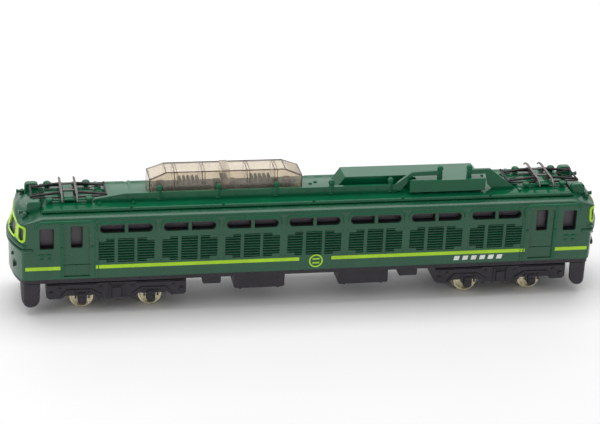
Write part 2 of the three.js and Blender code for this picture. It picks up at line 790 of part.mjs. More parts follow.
// Wheelsets are numbered from the front cab; each turns about its own axle.
function addWheelset(bogie, number, x) {
  const group = placedGroup(bogie, x, 0, AXLE_Z);
  addPart(`axle_${number}`, rod('y', AXLE_RADIUS, -10.2, 10.2, [0, 0], 12), steel(), group);
  addPart(`wheel_${number}_near`, wheel(-1), nickel(), group);
  addPart(`wheel_${number}_far`, wheel(1), nickel(), group);
  return group;
}

// ---- gear train ----------------------------------------------------------------------------------

// A spur gear about the Y axis; phase is the angle of one tooth, from +X towards +Z.
function gear(teeth, y, phase, bore) {
  const pitch = (teeth * MODULE) / 2;
  const tip = pitch + ADDENDUM;
  const root = pitch - DEDENDUM;
  const step = (2 * Math.PI) / teeth;
  const points = [];
  for (let tooth = 0; tooth < teeth; tooth += 1) {
    const centre = phase + tooth * step;
    const rootHalf = 0.42 / root;
    const tipHalf = 0.13 / tip;
    for (const [radius, offset] of [[root, -rootHalf], [tip, -tipHalf], [tip, tipHalf], [root, rootHalf]]) {
      points.push([radius * Math.cos(centre + offset), radius * Math.sin(centre + offset)]);
    }
  }
  const holes = bore ? [arc([0, 0], [bore, bore], 0, 330, 11)] : [];
  return sidePrism(points, y, holes);
}

// The phase of the second gear so that its gaps meet the first gear's teeth.
function meshPhase(firstPhase, firstTeeth, secondTeeth, direction) {
  const share = ((direction - firstPhase) * firstTeeth) / (2 * Math.PI);
  return direction + Math.PI - ((0.5 - share) * 2 * Math.PI) / secondTeeth;
}

function addGearTrain(bogie, wheelsets) {
  const idlerPhases = [];
  wheelsets.forEach((wheelset, index) => {
    const end = index === 0 ? -1 : 1;
    const direction = Math.atan2(IDLER_Z - AXLE_Z, end * (IDLER_X - AXLE_OFFSET));
    idlerPhases.push(meshPhase(0, AXLE_TEETH, IDLER_TEETH, direction));
  });
  const compoundPhases = idlerPhases.map((phase, index) => {
    const end = index === 0 ? -1 : 1;
    const direction = Math.atan2(COMPOUND_Z - IDLER_Z, -end * IDLER_X);
    return meshPhase(phase, IDLER_TEETH, AXLE_TEETH, direction);
  });
  const rearTurn = compoundPhases[0] - compoundPhases[1];
  wheelsets.forEach((wheelset, index) => {
    const turn = index === 0 ? 0 : rearTurn;
    const name = index === 0 ? '3' : '4';
    addPart(`axle_gear_${name}`, gear(AXLE_TEETH, GEAR_Y, turn, WHEEL_BORE), gearPlastic(), wheelset);
    const end = index === 0 ? -1 : 1;
    const idlerPhase = idlerPhases[index] - (turn * AXLE_TEETH) / IDLER_TEETH;
    const group = placedGroup(bogie, end * IDLER_X, 0, IDLER_Z);
    const stub = rod('y', STUB_RADIUS, -6.0, GEAR_Y[0] + 0.5, [0, 0], 10);
    const idler = gear(IDLER_TEETH, GEAR_Y, idlerPhase, 0).add(stub);
    addPart(`idler_gear_${name}`, idler, gearPlastic(), group);
  });
  const compound = placedGroup(bogie, 0, 0, COMPOUND_Z);
  const small = gear(AXLE_TEETH, [GEAR_Y[0], LARGE_GEAR_Y[0] + 0.1], compoundPhases[0], 0);
  const large = gear(COMPOUND_TEETH, LARGE_GEAR_Y, 0, 0);
  const shaft = rod('y', STUB_RADIUS, -6.0, 6.0, [0, 0], 10);
  addPart('reduction_gear', join([small, large, shaft]), gearPlastic(), compound);
  const pinion = placedGroup(bogie, 0, 0, PINION_Z);
  const pinionPhase = meshPhase(0, COMPOUND_TEETH, PINION_TEETH, Math.PI / 2);
  const motorShaft = rod('y', 0.6, MOTOR_Y[1] + GAP, 5.2, [0, 0], 10);
  const pinionGear = gear(PINION_TEETH, LARGE_GEAR_Y, pinionPhase, 0).add(motorShaft);
  addPart('motor_pinion', pinionGear, nickel(), pinion);
}

function motor() {
  const can = rod('y', MOTOR_RADIUS, MOTOR_Y[0] + 1.5, MOTOR_Y[1], [0, 0], 20)
    .intersect(block([-10, 10], [-20, 20], [-MOTOR_FLAT, MOTOR_FLAT]));
  const cap = rod('y', MOTOR_CAP_RADIUS, MOTOR_Y[0], MOTOR_Y[0] + 2, [0, 0], 16);
  const terminalY = [MOTOR_Y[0] - 0.5, MOTOR_Y[0] + 0.5];
  const terminals = [-3, 3].map((x) => block([x - 0.6, x + 0.6], terminalY, [-0.25, 0.25]));
  return join([can, cap, ...terminals]);
}

const trailingBogie = placedGroup(locomotive, -BOGIE_X, 0, 0);
addPart('bogie_frame_front', trailingBogieFrame(), blackPlastic(), trailingBogie);
addWheelset(trailingBogie, 1, -AXLE_OFFSET);
addWheelset(trailingBogie, 2, AXLE_OFFSET);

const pivotScrew = rod('z', PIVOT_HEAD, 3.9, 5.3, [-BOGIE_X, 0], 12)
  .add(rod('z', PIVOT_SHANK, 5.0, 17.3, [-BOGIE_X, 0], 12));
addPart('bogie_pivot_screw', cut(pivotScrew, [crossSlot(-BOGIE_X, 3.9, 1.6)]), steel());

const driveBogie = placedGroup(locomotive, BOGIE_X, 0, 0);
addPart('bogie_frame_rear', driveBogieFrame(), blackPlastic(), driveBogie);
const drivenWheelsets = [addWheelset(driveBogie, 3, -AXLE_OFFSET), addWheelset(driveBogie, 4, AXLE_OFFSET)];
addGearTrain(driveBogie, drivenWheelsets);
const motorGroup = placedGroup(driveBogie, 0, 0, PINION_Z);
addPart('drive_motor', motor(), steel(), motorGroup);

// ---- pantographs ---------------------------------------------------------------------------------

function pantographBase() {
  const parts = [block([-1.1, 1.1], [-7.0, 7.0], [PANTO_BASE_Z - 0.5, PANTO_BASE_Z + 0.3])];
  for (const side of [-1, 1]) {
    parts.push(block([-7.4, 7.4], facing(side, [6.7, 7.5]), [39.3, 40.0]));
    for (const end of [-1, 1]) {
      parts.push(rod('z', 1.15, 38.95, 40.5, [end * INSULATOR[0], side * INSULATOR[1]], 10));
      const bearing = facing(end, [PANTO_HALF_SPREAD - 0.6, PANTO_HALF_SPREAD + 0.6]);
      parts.push(block(bearing, facing(side, [5.95, 6.9]), [39.3, PANTO_BASE_Z + 0.6]));
    }
  }
  return join(parts);
}

// A straight arm between two pivots in the side view.
function armBar(from, to, y) {
  const direction = new THREE.Vector2(to[0] - from[0], to[1] - from[1]).normalize();
  const side = [-direction.y * ARM_RADIUS, direction.x * ARM_RADIUS];
  const points = [
    [from[0] + side[0], from[1] + side[1]],
    [from[0] - side[0], from[1] - side[1]],
    [to[0] - side[0], to[1] - side[1]],
    [to[0] + side[0], to[1] + side[1]],
  ];
  return sidePrism(points, [y - ARM_RADIUS, y + ARM_RADIUS]);
}

function lowerArm(end) {
  const base = [end * PANTO_HALF_SPREAD, PANTO_BASE_Z];
  const knee = [end * KNEE_X, KNEE_Z];
  const bars = [-1, 1].map((side) => armBar(base, knee, side * LOWER_ARM_Y));
  const tube = rod('y', ARM_RADIUS, -LOWER_ARM_Y, LOWER_ARM_Y, base, 8);
  return join([...bars, tube]);
}

function upperArm(end) {
  const knee = [end * KNEE_X, KNEE_Z];
  const head = [end * PANTO_HALF_SPREAD, PANTO_HEAD_Z];
  const bars = [-1, 1].map((side) => armBar(knee, head, side * UPPER_ARM_Y));
  const tube = rod('y', ARM_RADIUS, -LOWER_ARM_Y + 0.75, LOWER_ARM_Y - 0.75, knee, 8);
  return join([...bars, tube]);
}

// Two contact strips with horns that curve down, tied by two short bars.
function pantographHead() {
  const lower = [[7.0, 41.45], [8.2, 41.3], [9.3, 40.7], [10.2, 39.8]];
  const upper = [[10.8, 40.1], [9.9, 41.0], [8.5, 41.75], [7.0, 41.95]];
  const half = [...lower, ...upper];
  const section = [...half, ...half.slice().reverse().map(([y, z]) => [-y, z])];
  const strips = [-1, 1].map((end) => {
    const x = facing(end, [STRIP_SPREAD - 0.45, STRIP_SPREAD + 0.45]);
    return crossPrism(section, x);
  });
  const tieZ = [PANTO_HEAD_Z - 0.35, 41.6];
  const ties = [-1, 1].map((side) => block([-3.4, 3.4], facing(side, [2.5, 3.2]), tieZ));
  return join([...strips, ...ties]);
}

for (const [name, end] of ENDS) {
  const pantograph = placedGroup(locomotive, end * PANTO_X, 0, 0);
  addPart(`pantograph_base_${name}`, pantographBase(), greyMetal(), pantograph);
  addPart(`pantograph_head_${name}`, pantographHead(), greyMetal(), pantograph);
  for (const [armName, armEnd] of [['a', -1], ['b', 1]]) {
    addPart(`lower_arm_${name}_${armName}`, lowerArm(armEnd), greyMetal(), pantograph);
    addPart(`upper_arm_${name}_${armName}`, upperArm(armEnd), greyMetal(), pantograph);
  }
}

export default locomotive;
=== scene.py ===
import math

import bmesh
import bpy
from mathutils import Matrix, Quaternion, Vector


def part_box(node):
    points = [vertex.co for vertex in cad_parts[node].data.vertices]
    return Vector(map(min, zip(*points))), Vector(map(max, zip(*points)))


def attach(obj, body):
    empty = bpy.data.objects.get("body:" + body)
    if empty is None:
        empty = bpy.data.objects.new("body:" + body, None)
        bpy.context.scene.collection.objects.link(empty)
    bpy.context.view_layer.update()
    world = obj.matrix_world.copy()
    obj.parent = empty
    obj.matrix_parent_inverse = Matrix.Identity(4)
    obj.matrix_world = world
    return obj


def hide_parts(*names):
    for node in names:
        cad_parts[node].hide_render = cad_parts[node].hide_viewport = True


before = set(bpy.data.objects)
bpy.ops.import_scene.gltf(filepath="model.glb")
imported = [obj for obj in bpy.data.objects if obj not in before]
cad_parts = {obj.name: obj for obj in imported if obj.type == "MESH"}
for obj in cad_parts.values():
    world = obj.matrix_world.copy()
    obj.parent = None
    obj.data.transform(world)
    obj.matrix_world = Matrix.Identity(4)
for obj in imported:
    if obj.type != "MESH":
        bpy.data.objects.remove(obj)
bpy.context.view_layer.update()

# Looks of the model electric locomotive. Lengths in this file are millimetres; meshes are made in metres.
MM = 0.001


def cad(node):
    """Lowest and highest corner of a CAD node, in millimetres."""
    low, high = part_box(node)
    return [c / MM for c in low], [c / MM for c in high]


ENDS = (("front", -1), ("rear", 1))
SIDES = (("near", -1), ("far", 1))

# ---- places taken from the frame ----

SHELL_LOW, SHELL_HIGH = cad("body_shell")
HALF_WIDTH = SHELL_HIGH[1]
TIP = SHELL_HIGH[0]
BOTTOM = SHELL_LOW[2]
PANEL_LOW, PANEL_HIGH = cad("roof_panel")
DECK = PANEL_HIGH[2]
INSERT_TOP = cad("window_strip_far")[1][2]
AXLE_Z = cad("wheel_1_near")[1][2] / 2
FLANGE_RADIUS = AXLE_Z
BAR_Y = sum(corner[1] for corner in cad("bus_bar_front")) / 2
BOX_TOP = cad("roof_box")[1][2]
HOOD_LOW, HOOD_HIGH = cad("roof_cover")
HOOD_CENTRE = (HOOD_LOW[0] + HOOD_HIGH[0]) / 2
HOOD_HALF = (HOOD_HIGH[0] - HOOD_LOW[0]) / 2
# From the middle of a pantograph to its knees, the same for every arm.
KNEE_REACH = cad("lower_arm_rear_b")[1][0] - sum(corner[0] for corner in cad("pantograph_base_rear")) / 2

# ---- sizes of the body ----

WALL = 1.2
NOSE_BOW = 0.019
PAIR_XS = [(index - 3) * 21.6 for index in range(7)]
PAIR_HALF = 8.97
PAIR_POST = 0.55
UPPER_WINDOW_Z = (30.25, 33.1)
CAB_WINDOW = ((89.2, 94.0), (25.0, 32.6))
DOOR = ((77.25, 85.9), (14.5, 33.4))
DOOR_WINDOW = ((79.5, 83.6), (25.0, 32.9))
DOOR_DEPTH = 0.5
LOUVRE_COLUMNS = ((-9.4, -4.1), (-2.9, 2.7), (3.7, 9.5))
LOUVRE_Z = (19.4, 28.2)
LOUVRE_ROWS = 9
LOUVRE_DEPTH = 0.7
STRIPE_Z = (17.2, 18.5)
STRIPE_XS = ((-98.9, -86.5), (-75.6, -5.0), (6.3, 76.0), (86.8, 98.9))
SEAM_X = 74.3
EMBLEM_X = 0.9
# What the outer louvre columns lose at their outer corners.
LOUVRE_STEP = 2.6

# ---- sizes of the noses ----

NOSE_REACH = 12.0
FRONT_PANE = (1.3, 9.9)
QUARTER_PANE = (12.75, 15.6)
PANE_Z = (28.35, 33.1)
PANE_CORNER = 0.9
FRAME_WIDTH = 0.7
PILLAR_Z = (PANE_Z[0] - 0.2, PANE_Z[1] + 0.3)
LAMP_S = 9.0
LAMP_Z = 17.6
LAMP_RADIUS = 1.0
BAR_STEP = 0.9

# ---- sizes of the roof, the pantographs and the bogies ----

POST_XS = (-52.9, -32.7, -12.6, 6.7, 27.6)
HIGH_POST_XS = (45.1, 55.6)
HOOD_TOP = 47.4
CROWN_HALF = 20.6
SEAM_RADIUS = 0.17
ARM_PIVOT_X = 2.3
BASE_PIVOT_Z = 39.75
HEAD_PIVOT_Z = 40.8
KNEE_Z = (BASE_PIVOT_Z + HEAD_PIVOT_Z) / 2
LOWER_Y = 5.2
UPPER_Y = 3.9
RAIL_Y = 7.1
# Arms are drawn a little below the knee's axis and a little above the head's, so that they slope.
ARM_SAG = 0.3
AXLE_OFFSET = 11.75

# ---- sizes of the shading and the view ----

# A face at least this large, in square metres, that lies square to an axis keeps its own normal.
FLAT_AREA = 2.0 * MM * MM
SQUARE = 0.9999
SOFT_EDGE_ANGLE = math.radians(38)
# Sockets of a Mix node that mixes colours.
MIX_A, MIX_B, MIX_RESULT = 6, 7, 2
GRIME = (0.05, 0.045, 0.04)
SENSOR_WIDTH = 36.0
LENS = 114.1
CAMERA_PLACE = Vector((-121.84, -598.17, 299.0))
CAMERA_TARGET = Vector((-2.53, 0.0, 28.92))
CAMERA_ROLL = math.radians(2.62)

# Height, nose tip, bow of the nose, half width and corner radius of the body, from the floor of the
# shell to its crown.
LEVELS = (
    (BOTTOM, TIP, NOSE_BOW, HALF_WIDTH, 1.5),
    (26.9, TIP, NOSE_BOW, HALF_WIDTH, 1.5),
    (27.7, TIP - 0.12, 0.0185, HALF_WIDTH, 1.5),
    (30.8, TIP - 1.0, 0.0135, HALF_WIDTH, 1.6),
    (33.9, TIP - 1.9, 0.0085, HALF_WIDTH, 1.8),
    (34.5, TIP - 2.25, 0.013, HALF_WIDTH, 2.2),
    (35.1, TIP - 2.75, 0.021, HALF_WIDTH - 0.03, 2.8),
    (35.6, TIP - 3.3, 0.027, HALF_WIDTH - 0.25, 3.2),
    (36.0, TIP - 3.85, 0.031, HALF_WIDTH - 0.75, 3.5),
    (36.3, TIP - 4.35, 0.033, HALF_WIDTH - 1.5, 3.6),
    (36.5, TIP - 4.8, 0.034, HALF_WIDTH - 2.7, 3.6),
    (36.9, TIP - 5.6, 0.034, 10.7, 3.4),
    (37.3, TIP - 6.7, 0.034, 9.2, 3.0),
    (37.7, TIP - 8.1, 0.034, 7.4, 2.4),
    (38.0, TIP - 9.3, 0.034, 5.2, 1.8),
    (38.2, TIP - 10.0, 0.034, 3.0, 1.0),
    (38.3, TIP - 10.4, 0.034, 1.2, 0.5),
)

# ---- mesh making ----


def rounded(corners, steps=4):
    """An outline through (a, b, radius) corners, each corner turned with an arc."""
    points = []
    count = len(corners)
    for index, (a, b, radius) in enumerate(corners):
        here = Vector((a, b))
        if radius == 0:
            points.append((a, b))
            continue
        back = (Vector(corners[index - 1][:2]) - here).normalized()
        ahead = (Vector(corners[(index + 1) % count][:2]) - here).normalized()
        half = back.angle(ahead) / 2
        centre = here + (back + ahead).normalized() * (radius / math.sin(half))
        first = here + back * (radius / math.tan(half)) - centre
        last = here + ahead * (radius / math.tan(half)) - centre
        start = math.atan2(first.y, first.x)
        turn = (math.atan2(last.y, last.x) - start + math.pi) % (2 * math.pi) - math.pi
        for step in range(steps + 1):
            angle = start + turn * step / steps
            points.append((centre.x + radius * math.cos(angle), centre.y + radius * math.sin(angle)))
    return points


def plate(a, b, radius=0.0, steps=4, top=None):
    """A rectangle as an outline; its upper corners take the radius top where one is given."""
    top = radius if top is None else top
    return rounded([(a[0], b[0], radius), (a[1], b[0], radius), (a[1], b[1], top), (a[0], b[1], top)], steps)


def around(middle, half):
    return middle - half, middle + half


def shifted(outline, by):
    return [(by + a, b) for a, b in outline]


def mirror(outline):
    """Points or (a, b, radius) corners, seen across the line a = 0."""
    return [(-a, *rest) for a, *rest in reversed(outline)]


def both_sides(half):
    """Half an outline with its mirror image."""
    return half + mirror(half)


def facing(end, span):
    """A span on the positive side, turned to the negative side when end is -1."""
    return tuple(span) if end > 0 else (-span[1], -span[0])


PLACE = {
    "x": lambda a, b, along: (along, a, b),
    "y": lambda a, b, along: (a, along, b),
    "z": lambda a, b, along: (a, b, along),
}


class Shape:
    """Vertices and faces of one piece, in millimetres."""

    def __init__(self):
        self.points = []
        self.faces = []

    def add(self, points, faces):
        start = len(self.points)
        self.points += points
        self.faces += [[start + index for index in face] for face in faces]
        return self

    def loft(self, loops, closed=False):
        """Skins loops of equal length. A closed loft joins its last loop to its first."""
        size = len(loops[0])
        faces = []
        if not closed:
            faces.append(list(range(size)))
            faces.append([(len(loops) - 1) * size + index for index in range(size)])
        for row in range(len(loops) if closed else len(loops) - 1):
            following = (row + 1) % len(loops)
            for index in range(size):
                beside = (index + 1) % size
                faces.append([row * size + index, row * size + beside,
                              following * size + beside, following * size + index])
        return self.add([point for loop in loops for point in loop], faces)

    def prism(self, outline, axis, span):
        return self.loft([[PLACE[axis](a, b, along) for a, b in outline] for along in span])

    def box(self, x, y, z):
        return self.prism(((x[0], y[0]), (x[1], y[0]), (x[1], y[1]), (x[0], y[1])), "z", z)

    def lathe(self, profile, axis, centre, sides=32):
        """Turns (radius, along) points about an axis through centre; a radius of 0 is a tip."""
        points = []
        rings = []
        for radius, along in profile:
            count = sides if radius else 1
            rings.append(range(len(points), len(points) + count))
            for step in range(count):
                angle = 2 * math.pi * step / sides
                spot = PLACE[axis](radius * math.cos(angle), radius * math.sin(angle), along)
                points.append(tuple(s + c for s, c in zip(spot, centre)))
        faces = [list(ring) for ring in (rings[0], rings[-1]) if len(ring) > 1]
        for ring, following in zip(rings, rings[1:]):
            for step in range(sides):
                beside = (step + 1) % sides
                face = [ring[step % len(ring)], ring[beside % len(ring)],
                        following[beside % len(following)], following[step % len(following)]]
                faces.append(list(dict.fromkeys(face)))
        return self.add(points, [face for face in faces if len(face) > 2])

    def turned(self, profile, axis, centre, sign, sides):
        """A lathe whose profile points the other way along the axis when sign is -1."""
        return self.lathe([(radius, along * sign) for radius, along in profile], axis, centre, sides)

    def disc(self, radius, half, centre):
        """A short round boss that lies across the body."""
        return self.lathe([(0, -half), (radius, -half), (radius, half), (0, half)], "y", centre, 14)

    def hoop(self, outer, inner, axis, span):
        """What lies between two outlines of equal length."""
        loops = []
        for outline, along in ((outer, span[0]), (inner, span[0]), (inner, span[1]), (outer, span[1])):
            loops.append([PLACE[axis](a, b, along) for a, b in outline])
        return self.loft(loops, closed=True)

    def ball(self, centre, radius):
        turns = [math.pi * step / 8 - math.pi / 2 for step in range(9)]
        profile = [(radius * math.cos(turn), radius * math.sin(turn)) for turn in turns]
        profile[0] = (0, -radius)
        profile[-1] = (0, radius)
        return self.lathe(profile, "z", centre, 16)

    def pipe(self, path, radius, sides=10):
        """A round bar along a path; radius is one number or one for each point."""
        spots = [Vector(point) for point in path]
        radii = radius if isinstance(radius, (list, tuple)) else [radius] * len(spots)
        heading = (spots[1] - spots[0]).normalized()
        side = heading.orthogonal().normalized()
        loops = []
        for index, spot in enumerate(spots):
            before = spots[max(index - 1, 0)]
            after = spots[min(index + 1, len(spots) - 1)]
            forward = (after - before).normalized()
            side = (side - forward * side.dot(forward)).normalized()
            up = forward.cross(side)
            loop = []
            for step in range(sides):
                angle = 2 * math.pi * step / sides
                loop.append(tuple(spot + (side * math.cos(angle) + up * math.sin(angle)) * radii[index]))
            loops.append(loop)
        return self.loft(loops)


def mesh_object(shape, name):
    """A mesh object from a shape, in metres, with its faces pointing out."""
    mesh = bpy.data.meshes.new(name)
    mesh.from_pydata([tuple(c * MM for c in point) for point in shape.points], [], shape.faces)
    work = bmesh.new()
    work.from_mesh(mesh)
    bmesh.ops.recalc_face_normals(work, faces=work.faces)
    work.to_mesh(mesh)
    work.free()
    piece = bpy.data.objects.new(name, mesh)
    bpy.context.scene.collection.objects.link(piece)
    return piece


def bake_modifiers(piece):
    """Replaces the mesh by what its modifiers make of it."""
    bpy.context.view_layer.update()
    graph = bpy.context.evaluated_depsgraph_get()
    mesh = bpy.data.meshes.new_from_object(piece.evaluated_get(graph))
    piece.modifiers.clear()
    piece.data = mesh
    mesh.name = piece.name


def carve(piece, shapes, operation="DIFFERENCE"):
    """Cuts each shape out of the piece, or keeps only what they share."""
    for shape in shapes:
        tool = mesh_object(shape, "tool")
        modifier = piece.modifiers.new("carve", "BOOLEAN")
        modifier.solver = "EXACT"
        modifier.operation = operation
        modifier.object = tool
        bake_modifiers(piece)
        bpy.data.objects.remove(tool)


def finish_piece(piece, body, material, bevel=0.0, replaces=(), slot=None, smooth=32, segments=2):
    """Softens the edges, shades by angle, and gives the piece its body, finish and CAD nodes."""
    if bevel:
        modifier = piece.modifiers.new("soft edges", "BEVEL")
        modifier.width = bevel * MM
        modifier.segments = segments
        modifier.limit_method = "ANGLE"
        modifier.angle_limit = SOFT_EDGE_ANGLE
        bake_modifiers(piece)
    piece.data.shade_smooth()
    piece.data.set_sharp_from_angle(angle=math.radians(smooth))
    modifier = piece.modifiers.new("even shading", "WEIGHTED_NORMAL")
    modifier.keep_sharp = True
    bake_modifiers(piece)
    normals = [Vector(corner.vector) for corner in piece.data.corner_normals]
    for face in piece.data.polygons:
        if face.area > FLAT_AREA and max(abs(c) for c in face.normal) > SQUARE:
            for corner in face.loop_indices:
                normals[corner] = face.normal.copy()
    piece.data.normals_split_custom_set(normals)
    piece.data.materials.clear()
    piece.data.materials.append(material)
    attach(piece, body)
    if replaces:
        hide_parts(*replaces)
    return piece


def make(shape, name, body, material, bevel=0.0, replaces=(), **more):
    return finish_piece(mesh_object(shape, name), body, material, bevel, replaces, **more)


# ---- materials ----


class Finish:
    """A procedural material: a Principled shader fed by noise in the piece's own millimetres."""

    def __init__(self, name, slot, colour, roughness, metallic=0.0):
        self.material = bpy.data.materials.new(name)
        self.material.use_nodes = True
        self.material["slot"] = slot
        self.tree = self.material.node_tree
        self.shader = self.tree.nodes["Principled BSDF"]
        self.set("Base Color", (*colour, 1.0))
        self.set("Roughness", roughness)
        self.set("Metallic", metallic)
        self.colour = colour
        coordinates = self.tree.nodes.new("ShaderNodeTexCoord")
        mapping = self.tree.nodes.new("ShaderNodeMapping")
        mapping.inputs["Scale"].default_value = (1 / MM,) * 3
        self.tree.links.new(coordinates.outputs["Object"], mapping.inputs["Vector"])
        self.vector = mapping.outputs["Vector"]
        self.normal = None

    def set(self, socket, value):
        self.shader.inputs[socket].default_value = value
        return self

    def link(self, source, target):
        self.tree.links.new(source, target)

    def noise(self, scale, detail=3.0, stretch=(1, 1, 1)):
        """Noise with about scale lumps to the millimetre."""
        mapping = self.tree.nodes.new("ShaderNodeMapping")
        mapping.inputs["Scale"].default_value = stretch
        self.link(self.vector, mapping.inputs["Vector"])
        node = self.tree.nodes.new("ShaderNodeTexNoise")
        node.inputs["Scale"].default_value = scale
        node.inputs["Detail"].default_value = detail
        self.link(mapping.outputs["Vector"], node.inputs["Vector"])
        return node.outputs["Fac"]

    def specks(self, scale, size):
        """Sparse round specks, 1 at their middle."""
        node = self.tree.nodes.new("ShaderNodeTexVoronoi")
        node.inputs["Scale"].default_value = scale
        self.link(self.vector, node.inputs["Vector"])
        return self.ramp(node.outputs["Distance"], ((0.0, 1.0), (size, 0.0)))

    def ramp(self, source, stops):
        """Maps a value through (place, value or colour) stops."""
        node = self.tree.nodes.new("ShaderNodeValToRGB")
        ramp = node.color_ramp
        while len(ramp.elements) < len(stops):
            ramp.elements.new(0.5)
        for element, (place, value) in zip(ramp.elements, stops):
            element.position = place
            element.color = (*value, 1.0) if isinstance(value, tuple) else (value, value, value, 1.0)
        self.link(source, node.inputs["Fac"])
        return node.outputs["Color"]

    def tint(self, source, amount):
        """Lets a 0 to 1 value darken and lighten the base colour."""
        low = tuple(c * (1 - amount) for c in self.colour)
        high = tuple(min(c * (1 + amount), 1.0) for c in self.colour)
        self.link(self.ramp(source, ((0.3, low), (0.7, high))), self.shader.inputs["Base Color"])
        return self

    def cover(self, mask, colour):
        """Lays another colour over the present one where the mask is 1."""
        node = self.tree.nodes.new("ShaderNodeMix")
        node.data_type = "RGBA"
        socket = self.shader.inputs["Base Color"]
        if socket.is_linked:
            self.link(socket.links[0].from_socket, node.inputs[MIX_A])
        else:
            node.inputs[MIX_A].default_value = socket.default_value
        node.inputs[MIX_B].default_value = (*colour, 1.0)
        self.link(mask, node.inputs[0])
        self.link(node.outputs[MIX_RESULT], socket)
        return self

    def rough(self, source, low, high):
        self.link(self.ramp(source, ((0.3, low), (0.7, high))), self.shader.inputs["Roughness"])
        return self

    def bump(self, source, height, strength):
        """A bump of that height in millimetres, laid over any earlier one."""
        node = self.tree.nodes.new("ShaderNodeBump")
        node.inputs["Strength"].default_value = strength
        node.inputs["Distance"].default_value = height * MM
        self.link(source, node.inputs["Height"])
        if self.normal:
            self.link(self.normal, node.inputs["Normal"])
        self.normal = node.outputs["Normal"]
        self.link(self.normal, self.shader.inputs["Normal"])
        return self


def enamel(name, slot, colour, nib_highlight, roughness=0.24, shine=0.5):
    """Sprayed gloss paint: thin waviness and a few raised dust nibs, painted paler as painted highlights."""
    finish = Finish(name, slot, colour, roughness)
    finish.set("Coat Weight", 0.12).set("Coat Roughness", 0.08).set("Specular IOR Level", shine)
    finish.tint(finish.noise(0.1), 0.1)
    # Paler specks: painted highlights on the dust nibs; the bump below them is real.
    finish.cover(finish.specks(0.2, 0.03), nib_highlight)
    finish.rough(finish.noise(0.5), roughness * 0.8, roughness * 1.3)
    finish.bump(finish.noise(0.9, 2.0), 0.03, 0.25)
    finish.bump(finish.specks(0.2, 0.035), 0.04, 0.4)
    return finish.material


def moulded(name, slot, colour, roughness=0.5, lighter=0.25):
    """Injection-moulded plastic: a faint spark-eroded grain."""
    finish = Finish(name, slot, colour, roughness)
    finish.tint(finish.noise(0.25, 5.0), lighter)
    finish.rough(finish.noise(1.5), roughness * 0.8, min(roughness * 1.25, 1.0))
    finish.bump(finish.noise(7.0, 2.0), 0.012, 0.5)
    finish.bump(finish.noise(0.4, 2.0), 0.04, 0.3)
    return finish.material


def metal(name, slot, colour, roughness, grain=(1, 1, 1)):
    """Bare or plated metal with a drawn grain and some grime."""
    finish = Finish(name, slot, colour, roughness, 1.0)
    finish.tint(finish.noise(0.6, 4.0), 0.18)
    finish.cover(finish.ramp(finish.noise(0.8, 6.0), ((0.62, 0.0), (0.78, 0.5))), GRIME)
    finish.rough(finish.noise(4.0, 3.0, grain), roughness * 0.7, min(roughness * 1.6, 1.0))
    finish.bump(finish.noise(9.0, 2.0, grain), 0.006, 0.4)
    return finish.material


def clear(name, slot, colour, roughness, depth):
    """Tinted clear plastic with faint flow marks."""
    finish = Finish(name, slot, colour, roughness)
    finish.set("Transmission Weight", depth).set("IOR", 1.45)
    finish.tint(finish.noise(0.15, 2.0), 0.05)
    finish.rough(finish.noise(0.4), roughness * 0.6, roughness * 1.6)
    finish.bump(finish.noise(0.25, 1.0), 0.05, 0.2)
    return finish.material


def printed_board():
    finish = Finish("circuit_board", "circuit_board", (0.02, 0.16, 0.06), 0.35)
    tracks = finish.ramp(finish.noise(0.5, 0.0, (1, 3, 1)), ((0.5, 0.0), (0.52, 1.0)))
    finish.cover(tracks, (0.05, 0.26, 0.1))
    finish.bump(tracks, 0.03, 0.6)
    return finish.material


# The fourth value of each enamel is the colour of the painted highlights on its dust nibs.
GREEN = enamel("green_enamel", "green_paint", (0.006, 0.085, 0.037), (0.04, 0.2, 0.11))
ROOF_GREEN = enamel("green_plastic", "green_plastic", (0.003, 0.11, 0.046), (0.05, 0.25, 0.14), 0.16, 0.28)
LIME = enamel("lime_enamel", "green_paint", (0.42, 0.74, 0.002), (0.5, 0.82, 0.03), 0.3)
PALE = enamel("pale_enamel", "green_paint", (0.82, 0.84, 0.8), (0.9, 0.9, 0.88), 0.3)
BLACK = moulded("black_plastic", "black_plastic", (0.02, 0.016, 0.024))
# A darker copy of the black plastic: painted shade in the window reveals, behind the louvre slats and in the
# bogie slots, and near-black plastic for the lamp rims and contact tips.
SHADE_AND_NEAR_BLACK = moulded("painted_shade_and_near_black", "black_plastic", (0.006, 0.006, 0.008), 0.6)
WINDOW = moulded("window_plastic", "window_plastic", (0.082, 0.071, 0.086), 0.4, 0.12)
GEAR = moulded("gear_plastic", "gear_plastic", (0.78, 0.75, 0.68), 0.45, 0.05)
SMOKED = clear("smoked_clear", "smoked_clear", (0.9, 0.82, 0.7), 0.07, 0.86)
# A dark, nearly opaque copy of the smoked clear plastic: painted shade along the hood's edges and seams.
EDGE_SHADE_CLEAR = clear("clear_edge_painted_shade", "smoked_clear", (0.1, 0.05, 0.03), 0.25, 0.15)
CLEAR = clear("clear_plastic", "clear_plastic", (0.95, 0.96, 0.93), 0.05, 0.9)
NICKEL = metal("nickel_plate", "nickel", (0.76, 0.70, 0.5), 0.24)
STEEL = metal("steel", "steel", (0.42, 0.41, 0.4), 0.3, (6, 1, 1))
BRASS = metal("brass", "brass", (0.7, 0.5, 0.2), 0.28)
PANTO_METAL = metal("pantograph_metal", "pantograph_metal", (0.07, 0.06, 0.065), 0.45)
PANTO_ROD = metal("pantograph_rod", "pantograph_metal", (0.2, 0.18, 0.18), 0.4)
BOARD = printed_board()

# ---- the body's outer surface ----


def level_at(z):
    """Tip, bow, half width and corner radius of the body at a height."""
    for low, high in zip(LEVELS, LEVELS[1:]):
        if z <= high[0]:
            share = (z - low[0]) / (high[0] - low[0])
            return [a + (b - a) * share for a, b in zip(low[1:], high[1:])]
    return list(LEVELS[-1][1:])


